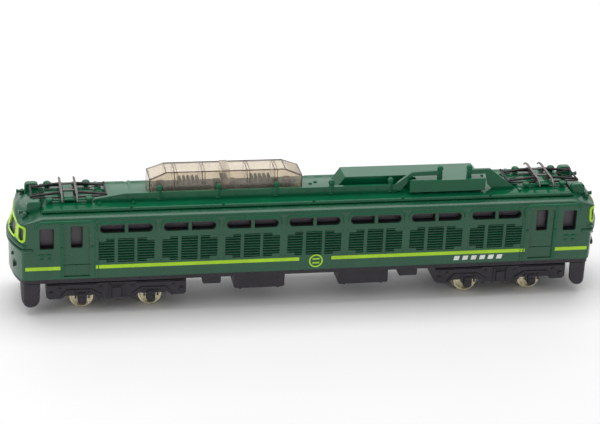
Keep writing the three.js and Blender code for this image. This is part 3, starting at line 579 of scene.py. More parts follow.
def corner_points(tip, bow, half_width, radius, corner_steps=6, bow_steps=7):
    """From the side wall round the corner to the middle of the nose, in plan, at +x and +y."""
    meet = half_width - radius
    for _ in range(6):
        meet = half_width - radius + radius * math.sin(math.atan(2 * bow * meet))
    slope = math.atan(2 * bow * meet)
    centre_x = tip - bow * meet * meet - radius * math.cos(slope)
    points = []
    for step in range(corner_steps + 1):
        angle = math.pi / 2 + (slope - math.pi / 2) * step / corner_steps
        points.append((centre_x + radius * math.cos(angle), half_width - radius + radius * math.sin(angle)))
    for step in range(1, bow_steps + 1):
        y = meet * (1 - step / bow_steps)
        points.append((tip - bow * y * y, y))
    return points


def plan_loop(z, level):
    """The body's whole outline at a height."""
    quarter = corner_points(*level)
    half = quarter + [(x, -y) for x, y in reversed(quarter[:-1])]
    outline = half + [(-x, -y) for x, y in half]
    return [(x, y, z) for x, y in outline]


def nose_line(z):
    """The body's outline at a height as (length from the middle, x, y, normal x, normal y) at +x, +y."""
    points = [(x, y) for x, y in reversed(corner_points(*level_at(z), 14, 16))]
    points.append((points[-1][0] - NOSE_REACH, points[-1][1]))
    line = []
    length = 0.0
    for index, (x, y) in enumerate(points):
        before = points[index - 1] if index else (x, -0.1)
        after = points[min(index + 1, len(points) - 1)]
        run = Vector((after[0] - before[0], after[1] - before[1])).normalized()
        if index:
            length += math.dist((x, y), before)
        line.append((length, x, y, run.y, -run.x))
    return line


LINES = {}


def on_nose(end, s, z, out):
    """A point on the skin of a nose: s along it from the middle, positive to +y, and out from it."""
    key = round(z, 3)
    line = LINES.setdefault(key, nose_line(z))
    reach = abs(s)
    for low, high in zip(line, line[1:]):
        if reach <= high[0]:
            break
    share = (reach - low[0]) / (high[0] - low[0])
    x, y, nx, ny = [a + (b - a) * share for a, b in zip(low[1:], high[1:])]
    side = 1 if s >= 0 else -1
    return (end * (x + nx * out), side * (y + ny * out), z)


def side_reach(x, z):
    """The length from the middle of the nose at which the side wall has that x."""
    line = nose_line(z)
    return line[-2][0] + line[-2][1] - x


def loop_points(a, b, radius, along=8, corner=4):
    """A closed rounded rectangle with evenly divided sides; equal counts whatever its size."""
    points = []
    corners = ((a[1] - radius, b[0] + radius, -90), (a[1] - radius, b[1] - radius, 0),
               (a[0] + radius, b[1] - radius, 90), (a[0] + radius, b[0] + radius, 180))
    for index, (ca, cb, start) in enumerate(corners):
        for step in range(corner + 1):
            angle = math.radians(start + 90 * step / corner)
            points.append((ca + radius * math.cos(angle), cb + radius * math.sin(angle)))
        na, nb, following = corners[(index + 1) % 4]
        angle = math.radians(following)
        target = (na + radius * math.cos(angle), nb + radius * math.sin(angle))
        last = points[-1]
        for step in range(1, along):
            share = step / along
            points.append(tuple(p + (q - p) * share for p, q in zip(last, target)))
    return points


def skin_ring(shape, end, outer, inner, out, back):
    """A frame lying on a nose between two outlines in (s, z)."""
    loops = []
    for outline, depth in ((outer, out), (inner, out), (inner, back), (outer, back)):
        loops.append([on_nose(end, s, z, depth) for s, z in outline])
    return shape.loft(loops, closed=True)


def skin_patch(shape, end, s, z, out, back, columns=6, rows=4):
    """A plate lying on a nose, divided so that it follows the bow."""
    loops = []
    for column in range(columns + 1):
        spot = s[0] + (s[1] - s[0]) * column / columns
        heights = [z[0] + (z[1] - z[0]) * row / rows for row in range(rows + 1)]
        front = [on_nose(end, spot, height, out) for height in heights]
        behind = [on_nose(end, spot, height, back) for height in reversed(heights)]
        loops.append(front + behind)
    return shape.loft(loops)


# ---- body shell ----


def upper_window(centre, half):
    """One of a pair: round at its outer end, square at the post."""
    inner = PAIR_POST
    corners = [(inner, UPPER_WINDOW_Z[0], 0.15), (PAIR_HALF, UPPER_WINDOW_Z[0], 1.35),
               (PAIR_HALF, UPPER_WINDOW_Z[1], 1.35), (inner, UPPER_WINDOW_Z[1], 0.15)]
    outline = rounded(corners)
    return shifted(mirror(outline) if half < 0 else outline, centre)


def side_openings():
    """Outlines (x, z) of every opening in one side wall."""
    outlines = [upper_window(centre, half) for centre in PAIR_XS for half in (-1, 1)]
    for _, end in ENDS:
        for x, z in (CAB_WINDOW, DOOR_WINDOW):
            outlines.append(plate(facing(end, x), z, 0.5))
    return outlines


def louvre_column(centre, index):
    """Outline of a louvred column; the outer two lose a corner step at top and bottom."""
    x0, x1 = LOUVRE_COLUMNS[index]
    z0, z1 = LOUVRE_Z
    row = (z1 - z0) / LOUVRE_ROWS
    if index == 1:
        return shifted(plate((x0, x1), (z0, z1), 0.12), centre)
    step = LOUVRE_STEP
    outline = [(x0, z0 + row), (x0 + step, z0 + row), (x0 + step, z0), (x1, z0),
               (x1, z1), (x0 + step, z1), (x0 + step, z1 - row), (x0, z1 - row)]
    if index == 2:
        outline = [(x0 + x1 - x, z) for x, z in reversed(outline)]
    return shifted(outline, centre)


def body_shell():
    """The painted shell with its hollow, roof seat, panels, doors, windows and lamp holes."""
    outer = Shape().loft([plan_loop(level[0], level[1:]) for level in LEVELS])
    piece = mesh_object(outer, "shell")
    hollow = []
    inside = HALF_WIDTH - WALL
    for z, tip, half_width in ((BOTTOM - 1, TIP - 3.1, inside), (33.4, TIP - 3.1, inside),
                               (34.3, TIP - 5.0, inside - 0.4), (35.2, TIP - 6.5, HALF_WIDTH - 2.8)):
        hollow.append(plan_loop(z, (tip, NOSE_BOW, half_width, 1.2)))
    seat = 0.3
    half_length = PANEL_HIGH[0] + seat
    half_breadth = PANEL_HIGH[1] + seat
    roof_seat = Shape().box((-half_length, half_length), (-half_breadth, half_breadth), (36.6, 41))
    carve(piece, [Shape().loft(hollow), roof_seat])
    shallow = Shape()
    through = Shape()
    grooves = Shape()
    for _, side in SIDES:
        face = side * HALF_WIDTH
        for centre in PAIR_XS:
            surround = [(-10.1, 29.6), (10.1, 29.6), (10.1, 33.1), (9.0, 34.2), (-9.0, 34.2), (-10.1, 33.1)]
            outside = [(centre + x, face + side, z) for x, z in surround]
            sloping = [(centre + x, face - side * 0.11 * (z - 29.6), z) for x, z in surround]
            shallow.loft([outside, sloping])
            for index in range(3):
                depth = (face - side * LOUVRE_DEPTH, face + side)
                shallow.prism(louvre_column(centre, index), "y", depth)
        for _, end in ENDS:
            door = facing(end, DOOR[0])
            outline = plate(door, DOOR[1], top=1.2)
            shallow.prism(outline, "y", (face - side * DOOR_DEPTH, face + side))
            ledge = (face - side * (DOOR_DEPTH + 0.3), face)
            grooves.prism(plate((door[0] + end * 0.5, door[1] - end * 0.3), (18.65, 18.95)), "y", ledge)
            grooves.box(around(end * SEAM_X, 0.1), (face - side * 0.2, face + side), (BOTTOM - 1, 34.0))
        for outline in side_openings():
            through.prism(outline, "y", (face - side * 4, face + side * 2))
    carve(piece, [shallow, grooves, through])
    nose_cuts = Shape()
    for _, end in ENDS:
        for side in (-1, 1):
            for span in (FRONT_PANE, QUARTER_PANE):
                s = facing(side, span)
                outline = loop_points(s, PANE_Z, PANE_CORNER)
                front = [on_nose(end, a, z, 1.5) for a, z in outline]
                behind = [on_nose(end, a, z, -1.2) for a, z in outline]
                nose_cuts.loft([front, behind])
            lamp = on_nose(end, side * LAMP_S, LAMP_Z, 0)
            hole = [(LAMP_RADIUS, -5), (LAMP_RADIUS, 3)]
            nose_cuts.lathe(hole, "x", lamp, 20)
    carve(piece, [nose_cuts])
    return finish_piece(piece, "car_body", GREEN, 0.09, ["body_shell"], smooth=28)


def windscreen_frames(name, end):
    """Lime surrounds of the four panes, with the broad pillars between them."""
    frames = Shape()
    for side in (-1, 1):
        for span in (FRONT_PANE, QUARTER_PANE):
            wide = (span[0] - FRAME_WIDTH, span[1] + FRAME_WIDTH)
            outer = loop_points(facing(side, wide), (PANE_Z[0] - FRAME_WIDTH, PANE_Z[1] + FRAME_WIDTH), 1.3)
            inner = loop_points(facing(side, span), PANE_Z, PANE_CORNER)
            skin_ring(frames, end, outer, inner, 0.22, -0.5)
        pillar = facing(side, (FRONT_PANE[1] + 0.5, QUARTER_PANE[0] - 0.5))
        skin_patch(frames, end, pillar, PILLAR_Z, 0.12, -0.2)
    middle = FRONT_PANE[0] - 0.5
    skin_patch(frames, end, (-middle, middle), PILLAR_Z, 0.12, -0.2)
    make(frames, f"windscreen_frames_{name}", "car_body", LIME, 0.06)


def cab_panes(name, end):
    """Dark panes set just inside the frames."""
    panes = Shape()
    for side in (-1, 1):
        for span in (FRONT_PANE, QUARTER_PANE):
            spread = facing(side, (span[0] - 0.2, span[1] + 0.2))
            skin_patch(panes, end, spread, (PANE_Z[0] - 0.2, PANE_Z[1] + 0.2), -0.75, -1.15, 10, 5)
    make(panes, f"cab_panes_{name}", "car_body", WINDOW, 0.05, [f"cab_glazing_{name}"])


def wrap_bar(shape, end, z, side_x, out):
    """A rounded bar that runs round a nose at a height and ends on both side walls."""
    middle = sum(z) / 2
    half = (z[1] - z[0]) / 2
    reach = side_reach(side_x, middle)
    count = int(2 * reach / BAR_STEP)
    loops = []
    for step in range(count + 1):
        s = -reach + 2 * reach * step / count
        fade = min(1.0, (reach - abs(s)) / 0.8 + 0.25)
        section = [(-0.2, -half), (out * 0.7, -half * 0.9), (out, -half * 0.3),
                   (out, half * 0.5), (out * 0.6, half), (-0.2, half)]
        loops.append([on_nose(end, s, middle + dz * fade, depth * fade) for depth, dz in section])
    return shape.loft(loops)


def nose_fittings(name, end):
    """Two bars round the nose, its lamps, and the lamps and horns on the brow."""
    bars = Shape()
    wrap_bar(bars, end, (25.9, 27.0), 98.3, 0.7)
    wrap_bar(bars, end, (24.1, 25.25), 95.9, 0.7)
    make(bars, f"nose_bars_{name}", "car_body", GREEN, 0.0, smooth=50)
    rims = Shape()
    lenses = Shape()
    rim = [(0.62, -0.6), (0.98, -0.6), (1.15, 0.1), (1.1, 0.35), (0.85, 0.38), (0.68, 0.15), (0.62, -0.6)]
    lens = [(0, -0.5), (0.66, -0.5), (0.66, 0.0), (0.5, 0.16), (0.25, 0.24), (0, 0.26)]
    small_rim = [(0.22, -0.3), (0.55, -0.3), (0.62, 0.2), (0.5, 0.38), (0.3, 0.3), (0.22, -0.3)]
    small_lens = [(0, -0.2), (0.26, -0.2), (0.26, 0.12), (0, 0.2)]
    for side in (-1, 1):
        low = on_nose(end, side * LAMP_S, LAMP_Z, 0)
        small = on_nose(end, side * 7.5, 20.8, 0)
        for spot, ring, glass in ((low, rim, lens), (small, small_rim, small_lens)):
            rims.turned(ring, "x", spot, end, 24)
            lenses.turned(glass, "x", spot, end, 24)
    make(rims, f"lamp_rims_{name}", "car_body", SHADE_AND_NEAR_BLACK, 0.0)
    make(lenses, f"lamp_lenses_{name}", "car_body", CLEAR, 0.0)
    brow = Shape()
    lamp = [(0, 0.4), (1.0, 0.4), (1.1, 1.2), (0.85, 2.0), (0.4, 2.35), (0, 2.4)]
    horn = [(97.4, 8.7, 36.5), (99.4, 8.8, 36.6), (100.6, 8.9, 36.55)]
    for side in (-1, 1):
        brow.lathe(lamp, "z", (end * 98.6, side * 9.7, 34.6), 16)
        brow.pipe([(end * x, side * y, z) for x, y, z in horn], [0.42, 0.45, 0.75], 14)
    make(brow, f"brow_lamps_{name}", "car_body", GREEN, 0.05)


def corner_boxes(name, end):
    """Rounded boxes on the cab roof behind each brow."""
    boxes = Shape()
    for side in (-1, 1):
        outline = plate(facing(end, (93.1, 97.9)), (36.0, 40.1), top=1.3)
        boxes.prism(outline, "y", facing(side, (6.8, 9.4)))
    make(boxes, f"roof_corner_boxes_{name}", "car_body", ROOF_GREEN, 0.45, segments=4)


def window_inserts(name, side):
    """A dark strip behind the windows, and near-black liners that run back to it from the wall: painted
    shade of the openings' insides.
    """
    low, high = cad(f"window_strip_{name}")
    back = (11.5, 12.1)
    strip = [(low[0], 24.2), (-78.5, 24.2), (-76.8, 29.4), (76.8, 29.4), (78.5, 24.2), (high[0], 24.2),
             (high[0], INSERT_TOP), (low[0], INSERT_TOP)]
    insert = Shape().prism(strip, "y", facing(side, back))
    make(insert, f"window_insert_{name}", "car_body", WINDOW, 0.1, [f"window_strip_{name}"])
    # Liners in the near-black copy: painted shade on the reveals of the openings.
    liners = Shape()
    for outline in side_openings():
        centre_x = sum(x for x, _ in outline) / len(outline)
        centre_z = sum(z for _, z in outline) / len(outline)
        inner = [(x - math.copysign(0.22, x - centre_x), z - math.copysign(0.22, z - centre_z))
                 for x, z in outline]
        liners.hoop(outline, inner, "y", (side * (HALF_WIDTH - 0.62), side * 12.15))
    make(liners, f"window_liners_{name}", "car_body", SHADE_AND_NEAR_BLACK, 0.0)


def louvres(name, side):
    """Sloping slats over a near-black back in each louvred column, the back being painted shade between the
    slats.
    """
    slats = Shape()
    backs = Shape()
    row = (LOUVRE_Z[1] - LOUVRE_Z[0]) / LOUVRE_ROWS
    floor = HALF_WIDTH - LOUVRE_DEPTH
    for centre in PAIR_XS:
        for index, (x0, x1) in enumerate(LOUVRE_COLUMNS):
            # The back is painted shade: a near-black sheet on the recess floor where the gaps between slats
            # fall in shadow.
            backs.prism(louvre_column(centre, index), "y", facing(side, (floor - 0.05, floor + 0.06)))
            for number in range(LOUVRE_ROWS):
                z = LOUVRE_Z[0] + number * row
                left, right = x0, x1
                if number in (0, LOUVRE_ROWS - 1):
                    left += LOUVRE_STEP if index == 0 else 0
                    right -= LOUVRE_STEP if index == 2 else 0
                section = [(floor, z + row * 0.97), (floor + 0.25, z + row * 0.95),
                           (HALF_WIDTH + 0.05, z + row * 0.62), (HALF_WIDTH + 0.05, z + row * 0.44),
                           (floor, z + row * 0.44)]
                turned = [(side * y, height) for y, height in section]
                slats.prism(turned, "x", (centre + left + 0.03, centre + right - 0.03))
    make(slats, f"louvres_{name}", "car_body", GREEN, 0.0, smooth=20)
    make(backs, f"louvre_shade_backs_{name}", "car_body", SHADE_AND_NEAR_BLACK, 0.0)


def stripes(name, side):
    """Lime bands, a plain ring at mid-length and a row of plain slanted dashes."""
    bands = Shape()
    proud = facing(side, (HALF_WIDTH - 0.05, HALF_WIDTH + 0.07))
    for x0, x1 in STRIPE_XS:
        for low, high in split_at((x0, x1), (-SEAM_X, SEAM_X), 0.12):
            bands.prism(plate((low, high), STRIPE_Z, 0.12, 2), "y", proud)
    middle = EMBLEM_X * -side
    turns = [2 * math.pi * step / 40 for step in range(40)]
    outer, inner = ([(middle + radius * math.cos(turn), 16.9 + radius * math.sin(turn)) for turn in turns]
                    for radius in (2.45, 1.95))
    bands.hoop(outer, inner, "y", proud)
    for offset in (-0.75, 0.75):
        bands.prism(plate(around(middle, 1.25), (16.65 + offset, 17.15 + offset)), "y", proud)
    make(bands, f"lime_stripes_{name}", "car_body", LIME, 0.03)
    marks = Shape()
    for number in range(6):
        x = 50.2 + number * 3.1
        bar = [(x, 15.0), (x + 1.9, 15.0), (x + 2.3, 16.6), (x + 0.4, 16.6)]
        marks.prism([(-side * a, b) for a, b in bar], "y", proud)
    make(marks, f"plain_marks_{name}", "car_body", PALE, 0.02)


def split_at(span, cuts, gap):
    """Parts of a span left when a small gap is taken out at each cut."""
    parts = [span]
    for place in cuts:
        following = []
        for low, high in parts:
            if low < place < high:
                following += [(low, place - gap), (place + gap, high)]
            else:
                following.append((low, high))
        parts = following
    return parts


def side_fittings(name, side):
    """Drip rails, door posts and knobs, relief plates and rivets on one side wall."""
    fittings = Shape()
    face = side * HALF_WIDTH
    for _, end in ENDS:
        rail = [(end * 75.2, face, 32.3), (end * 75.2, face, 33.5), (end * 75.7, face, 34.35),
                (end * 76.9, face, 34.75), (end * 84.5, face, 34.8), (end * 93.4, face, 34.75),
                (end * 94.7, face, 34.35), (end * 95.3, face, 33.5), (end * 95.4, face, 32.3)]
        fittings.pipe(rail, [0.2, 0.45, 0.55, 0.55, 0.55, 0.55, 0.55, 0.45, 0.2], 10)
        low_relief = facing(side, (HALF_WIDTH - 0.1, HALF_WIDTH + 0.16))
        fittings.prism(plate(facing(end, (86.05, 87.1)), (14.2, 34.2)), "y", low_relief)
        fittings.prism(plate(facing(end, (75.2, 75.6)), (14.2, 33.0)), "y", low_relief)
        relief = facing(side, (HALF_WIDTH - 0.1, HALF_WIDTH + 0.28))
        for x, z in (((90.0, 92.0), (22.6, 23.2)), ((92.6, 94.6), (22.6, 23.2)),
                     ((90.2, 91.2), (20.9, 21.7)), ((92.9, 93.9), (20.9, 21.7))):
            fittings.prism(plate(facing(end, x), z, 0.25, 3), "y", relief)
        for x in (76.4, 86.6):
            knob = [(0, -0.2), (0.4, -0.2), (0.4, 0.35), (0.28, 0.5), (0, 0.52)]
            fittings.turned(knob, "y", (end * x, face, 25.4), side, 12)
    for centre in PAIR_XS:
        brow = [(-10.1, 31.0), (-10.1, 33.1), (-9.0, 34.15), (9.0, 34.15), (10.1, 33.1), (10.1, 31.0)]
        fittings.pipe([(centre + x, face, z) for x, z in brow], [0.12, 0.34, 0.38, 0.38, 0.34, 0.12], 8)
        for x in (-9.9, 10.0):
            fittings.ball((centre + x, face, 19.4), 0.24)
            fittings.ball((centre + x, face, 28.1), 0.2)
    # The fittings are painted like the wall but take the roof's deeper, less shiny green so that they read
    # darker: painted shade for the shadow lines along rails and brows.
    make(fittings, f"side_fittings_{name}", "car_body", ROOF_GREEN, 0.06, slot="green_paint", smooth=45)


# ---- roof ----

def roof_panel():
    """The long deck with bevelled ends and notched edges, and what is moulded on it."""
    half = PANEL_HIGH[1]
    half_section = [(half, 36.9), (half, 37.75), (half - 0.35, 38.05), (9.0, 38.4), (6.5, 38.65),
                    (4.0, 38.82), (2.0, DECK - 0.02), (0, DECK)]
    section = half_section + mirror(half_section[:-1])
    piece = mesh_object(Shape().prism(section, "x", (PANEL_LOW[0], PANEL_HIGH[0])), "roof_deck")
    end = PANEL_HIGH[0]
    profile = [(-end + 2.6, 40), (-end + 1.6, 38.95), (-end, 37.3), (-end, 36), (end, 36), (end, 37.3),
               (end - 1.6, 38.95), (end - 2.6, 40)]
    carve(piece, [Shape().prism(profile, "y", (-15, 15))], "INTERSECT")
    cuts = Shape()
    for x in [(index - 2) * 31.4 for index in range(5)]:
        for side in (-1, 1):
            notch = [(x - 1.3, 38.9), (x, 37.2), (x + 1.3, 38.9)]
            cuts.prism(notch, "y", facing(side, (half - 0.9, 13)))
    carve(piece, [cuts])
    finish_piece(piece, "car_body", ROOF_GREEN, 0.16, ["roof_panel"], segments=3)
    fittings = Shape()
    for x in (-73.5, -62.0, 74.0):
        fittings.prism(plate(around(x, 0.5), (-9.6, 9.6), 0.2), "z", (38.2, DECK + 0.12))
    for x, y in ((-1.5, -2.2), (1.2, -3.4), (3.4, -1.6), (1.0, 1.8), (3.0, 3.2)):
        fittings.lathe([(0.7, 38.4), (0.7, 39.05), (0.5, 39.25), (0, 39.3)], "z", (x, y, 0), 16)
    for index in range(27):
        x = -72 + index * 5.4
        for side in (-1, 1):
            fittings.prism(plate((x, x + 3.2), facing(side, (8.75, 9.05))), "z", (38.2, 38.5))
    for end in (-1, 1):
        for x in (68.8, 72.0):
            fittings.prism(plate(facing(end, (x, x + 2.2)), (-5.2, 5.2), 0.3), "z", (38.4, 39.35))
    make(fittings, "roof_fittings", "car_body", ROOF_GREEN, 0.12, smooth=40)


def insulator_post(shape, x, low, top):
    """A ribbed post with a ball head."""
    head = 1.1
    profile = [(0, low), (0.85, low)]
    ribs = 4
    rise = (top - 2 * head - low) / ribs
    for number in range(ribs):
        z = low + rise * number
        profile += [(0.85, z + rise * 0.2), (1.05, z + rise * 0.5), (0.85, z + rise * 0.8)]
    profile.append((0.8, top - 2 * head + 0.1))
    for step in range(1, 8):
        angle = -math.pi / 2 + math.pi * (step + 1) / 9
        profile.append((head * math.cos(angle), top - head + head * math.sin(angle)))
    profile.append((0, top))
    shape.lathe(profile, "z", (x, BAR_Y, 0), 20)


def bus_bars():
    """The two bars along the near side, each with its posts."""
    low = cad("bus_bar_front")[0][2]
    y = around(BAR_Y, 0.6)
    front = [(-75.0, 38.5), (28.8, 38.5), (31.2, 39.2), (35.6, 44.5), (45.1, 44.6), (45.1, 46.3),
             (35.0, 45.9), (29.3, 41.5), (-64.6, 41.5), (-75.0, 39.9)]
    bar = Shape().prism(front, "y", y)
    for x in POST_XS:
        insulator_post(bar, x, low - 0.3, 44.0)
    insulator_post(bar, HIGH_POST_XS[0], BOX_TOP - 0.2, 48.0)
    for x in [-70 + 6.2 * index for index in range(16)]:
        bar.lathe([(0, -0.95), (0.3, -0.95), (0.42, -0.7), (0.42, -0.5)], "y", (x, BAR_Y, 40.4), 10)
    make(bar, "bus_bar_long", "car_body", ROOF_GREEN, 0.14, ["bus_bar_front"], smooth=40)
    rear = [(55.6, 44.6), (61.6, 44.6), (62.6, 40.4), (64.6, 38.5), (72.2, 38.5), (72.2, 39.3),
            (71.4, 39.95), (63.1, 46.3), (55.6, 46.3)]
    short = Shape().prism(rear, "y", y)
    insulator_post(short, HIGH_POST_XS[1], BOX_TOP - 0.2, 48.0)
    make(short, "bus_bar_short", "car_body", ROOF_GREEN, 0.14, ["bus_bar_rear"], smooth=40)


def roof_box():
    """A flat box with a bevelled end, and its side extension under the raised bus bar."""
    long_side = [(9.0, 39.2), (60.6, 39.2), (60.6, BOX_TOP - 1.1), (59.4, BOX_TOP), (12.0, BOX_TOP)]
    piece = mesh_object(Shape().prism(long_side, "y", (-4.1, 5.0)), "roof_box_housing")
    near = Shape().prism(plate((34.0, 61.2), (-9.7, -4.0), 0.4, top=0), "z", (39.2, BOX_TOP))
    carve(piece, [near], "UNION")
    slots = Shape()
    slots.box((60.0, 63.0), (-8.2, -6.0), (38, 45))
    slots.box((30.0, 36.5), (-8.2, -6.0), (38, 45))
    carve(piece, [slots])
    finish_piece(piece, "car_body", ROOF_GREEN, 0.3, ["roof_box"], segments=4)


def hood_solid(inset, low):
    """The hood's outer form moved inwards: chamfered ends crossed with sides that lean in."""
    half = HOOD_HALF - inset
    top = HOOD_TOP - inset
    side = rounded(both_sides([(half, low, 0), (half, 45.2 - inset, 0.5), (20.8 - inset / 2, top, 0.6)]))
    piece = mesh_object(Shape().prism(shifted(side, HOOD_CENTRE), "y", (-10, 10)), "hood")
    section = rounded(both_sides([(5.45 - inset, low - 1, 0), (5.2 - inset, 44.5, 0.8),
                                  (4.3 - inset, top + 0.02, 0.7)]))
    carve(piece, [Shape().prism(section, "x", (HOOD_LOW[0] - 2, HOOD_HIGH[0] + 2))], "INTERSECT")
    return piece


def shape_of(piece):
    """The millimetre shape of a piece, so that it can be used as a cutting tool."""
    shape = Shape()
    shape.add([tuple(c / MM for c in vertex.co) for vertex in piece.data.vertices],
              [list(face.vertices) for face in piece.data.polygons])
    bpy.data.objects.remove(piece)
    return shape


def hood():
    """The clear hood, its seams and rim in a dark copy of the clear plastic that paints the shade along its
    edges, and the thicker band over its middle.
    """
    piece = hood_solid(0.0, HOOD_LOW[2])
    carve(piece, [shape_of(hood_solid(0.6, 37.0))])
    piece.name = "clear_hood"
    finish_piece(piece, "car_body", SMOKED, 0.16, ["roof_cover"], segments=3)
    seams = Shape()
    for x in (-17.8, -16.9, -8.2, -7.3, 7.3, 8.2, 16.9, 17.8):
        band(seams, HOOD_CENTRE + x, 0.09, 0.1)
    for side in (-1, 1):
        edge = [(-HOOD_HALF + 0.2, 4.75, 45.1), (-CROWN_HALF, 4.4, 47.3), (CROWN_HALF, 4.4, 47.3),
                (HOOD_HALF - 0.2, 4.75, 45.1)]
        seams.pipe([(HOOD_CENTRE + x, side * y, z) for x, y, z in edge], SEAM_RADIUS, 8)
        for end in (-1, 1):
            corner = HOOD_CENTRE + end * (HOOD_HALF - 0.12)
            crown = HOOD_CENTRE + end * CROWN_HALF
            top = HOOD_CENTRE + end * (HOOD_HALF - 0.15)
            post = [(corner, side * y, z) for y, z in ((5.35, 39.0), (5.1, 44.4), (4.7, 45.1))]
            seams.pipe(post, SEAM_RADIUS, 8)
            seams.pipe([(crown, -4.4, 47.32), (crown, 4.4, 47.32)], 0.12, 8)
            seams.pipe([(top, -4.7, 45.1), (top, 4.7, 45.1)], SEAM_RADIUS, 8)
    make(seams, "hood_seams", "car_body", EDGE_SHADE_CLEAR, 0.0, smooth=40)
    block = Shape()
    band(block, HOOD_CENTRE, 1.3, 0.4)
    make(block, "hood_centre_band", "car_body", SMOKED, 0.08, smooth=40)
    rim = Shape()
    rim_x = (HOOD_LOW[0] + 0.2, HOOD_HIGH[0] - 0.2)
    for side in (-1, 1):
        rim.prism(plate(rim_x, facing(side, (5.0, 5.7)), 0.15), "z", (38.75, 39.35))
    for end in (HOOD_LOW[0], HOOD_HIGH[0] - 0.6):
        rim.prism(plate((end, end + 0.6), (-5.6, 5.6), 0.15), "z", (38.75, 39.35))
    make(rim, "hood_rim", "car_body", EDGE_SHADE_CLEAR, 0.08)


def band(shape, x, half, rise):
    """A strip over the hood's top and upper sides, standing a little proud."""
    outer = rounded(both_sides([(5.3 + rise, 43.0, 0), (5.2 + rise, 44.5, 0.8),
                                (4.3 + rise, HOOD_TOP + rise, 0.7)]))
    inner = rounded(both_sides([(5.2, 43.0, 0), (5.1, 44.5, 0.8), (4.25, 47.3, 0.7)]))
    return shape.hoop(outer, inner, "x", (x - half, x + half))


def hood_base():
    """Black tray under the hood, with its two groups of contact fingers."""
    low, high = cad("roof_cover_base")
    centre = (low[0] + high[0]) / 2
    tray = Shape()
    tray.prism(plate((low[0], high[0]), (-4.2, 4.2), 0.5), "z", (39.2, 40.2))
    for group in (-12.5, 12.5):
        tray.prism(plate(around(centre + group, 7.5), (-2.4, 2.4), 0.4), "z", (40.0, 41.5))
    for x in (-22.0, -2.5, 2.5, 22.0):
        tray.prism(plate(around(centre + x, 1.2), (-2.0, 2.0), 0.3), "z", (40.0, 42.4))
    make(tray, "hood_tray", "car_body", BLACK, 0.15, ["roof_cover_base"])
    fingers = Shape()
    tips = Shape()
    finger = [(0.42, 41.3), (0.42, 42.6), (0.3, 42.9), (0.3, 43.0)]
    tip = [(0.5, 42.9), (0.55, 43.3), (0.5, 43.8), (0.3, 44.0), (0, 44.05)]
    for group in (-12.5, 12.5):
        for row in (-1.1, 1.1):
            for number in range(5):
                x = centre + group + (number - 2) * 1.5
                fingers.lathe(finger, "z", (x, row, 0), 12)
                tips.lathe(tip, "z", (x, row, 0), 12)
    make(fingers, "contact_fingers", "car_body", BLACK, 0.0)
    make(tips, "contact_tips", "car_body", SHADE_AND_NEAR_BLACK, 0.0)


# ---- pantographs ----


def pantograph(name):
    """The base frame and its insulators on the roof, then the four arms and the head."""
    low, high = cad(f"pantograph_base_{name}")
    middle = (low[0] + high[0]) / 2
    rail_z = 39.65
    base = Shape()
    bearing = [(0.25, 0), (0.42, 0.05), (0.42, 0.3), (0.2, 0.36), (0, 0.36)]
    for side in (-1, 1):
        y = side * RAIL_Y
        base.pipe([(low[0] - 0.2, y, rail_z), (high[0] + 0.2, y, rail_z)], 0.36, 12)
        for x in (-ARM_PIVOT_X, ARM_PIVOT_X):
            block = plate(around(middle + x, 0.6), facing(side, (5.95, 6.9)), 0.15)
            base.prism(block, "z", (39.2, 40.35))
            base.lathe(bearing, "y", (middle + x, side * 6.9, BASE_PIVOT_Z), 12)
    base.prism(plate(around(middle, 1.6), (-6.9, 6.9), 0.4), "z", (39.1, 39.95))
    node = f"pantograph_base_{name}"
    make(base, f"pantograph_frame_{name}", "car_body", ROOF_GREEN, 0.06, [node], smooth=45)
    insulators = Shape()
    profile = [(1.3, 38.2), (1.3, 38.7), (0.7, 38.9), (0.7, 39.3), (1.2, 39.5), (1.35, 39.85), (1.3, 40.2),
               (0.95, 40.5), (0, 40.6)]
    for side in (-1, 1):
        for end in (-1, 1):
            insulators.lathe(profile, "z", (middle + end * 6.65, side * RAIL_Y, 0), 20)
    make(insulators, f"insulators_{name}", "car_body", ROOF_GREEN, 0.0, smooth=45)
    for arm, end in (("a", -1), ("b", 1)):
        lower_arm(f"{name}_{arm}", middle, end)
        upper_arm(f"{name}_{arm}", middle, end)
    pantograph_head(name, middle)


def lower_arm(name, middle, end):
    """Two tubes from the base's pivot to the knee, on one cross tube."""
    base = (middle + end * ARM_PIVOT_X, BASE_PIVOT_Z)
    knee = (middle + end * KNEE_REACH, KNEE_Z)
    arm = Shape()
    for side in (-1, 1):
        y = side * LOWER_Y
        arm.pipe([(base[0], y, base[1]), (knee[0], y, knee[1] - ARM_SAG)], [0.34, 0.28], 10)
        arm.disc(0.5, 0.42, (base[0], y, base[1]))
        arm.disc(0.42, 0.36, (knee[0], y, knee[1]))
    arm.pipe([(base[0], -LOWER_Y, base[1]), (base[0], LOWER_Y, base[1])], 0.36, 12)
    node = f"lower_arm_{name}"
    make(arm, f"lower_arm_tubes_{name}", node, PANTO_METAL, 0.0, [node], smooth=45)


def upper_arm(name, middle, end):
    """Two tubes from the knee to the head's pivot, with crossed braces."""
    knee = (middle + end * KNEE_REACH, KNEE_Z)
    head = (middle + end * ARM_PIVOT_X, HEAD_PIVOT_Z)
    arm = Shape()
    for side in (-1, 1):
        y = side * UPPER_Y
        arm.pipe([(knee[0], y, knee[1] - ARM_SAG), (head[0], y, head[1] + ARM_SAG)], [0.4, 0.5], 10)
        arm.disc(0.42, 0.34, (head[0], y, head[1]))
    arm.pipe([(knee[0], -LOWER_Y + 0.75, knee[1]), (knee[0], LOWER_Y - 0.75, knee[1])], 0.34, 12)
    share = 0.62
    brace_x = knee[0] + (head[0] - knee[0]) * share
    brace_z = knee[1] + (head[1] - knee[1]) * share
    for side in (-1, 1):
        arm.pipe([(knee[0], side * UPPER_Y, knee[1]), (brace_x, 0.0, brace_z),
                  (brace_x + (head[0] - knee[0]) * 0.1, -side * 0.4, brace_z)], 0.16, 8)
    node = f"upper_arm_{name}"
    make(arm, f"upper_arm_tubes_{name}", node, PANTO_METAL, 0.0, [node], smooth=45)


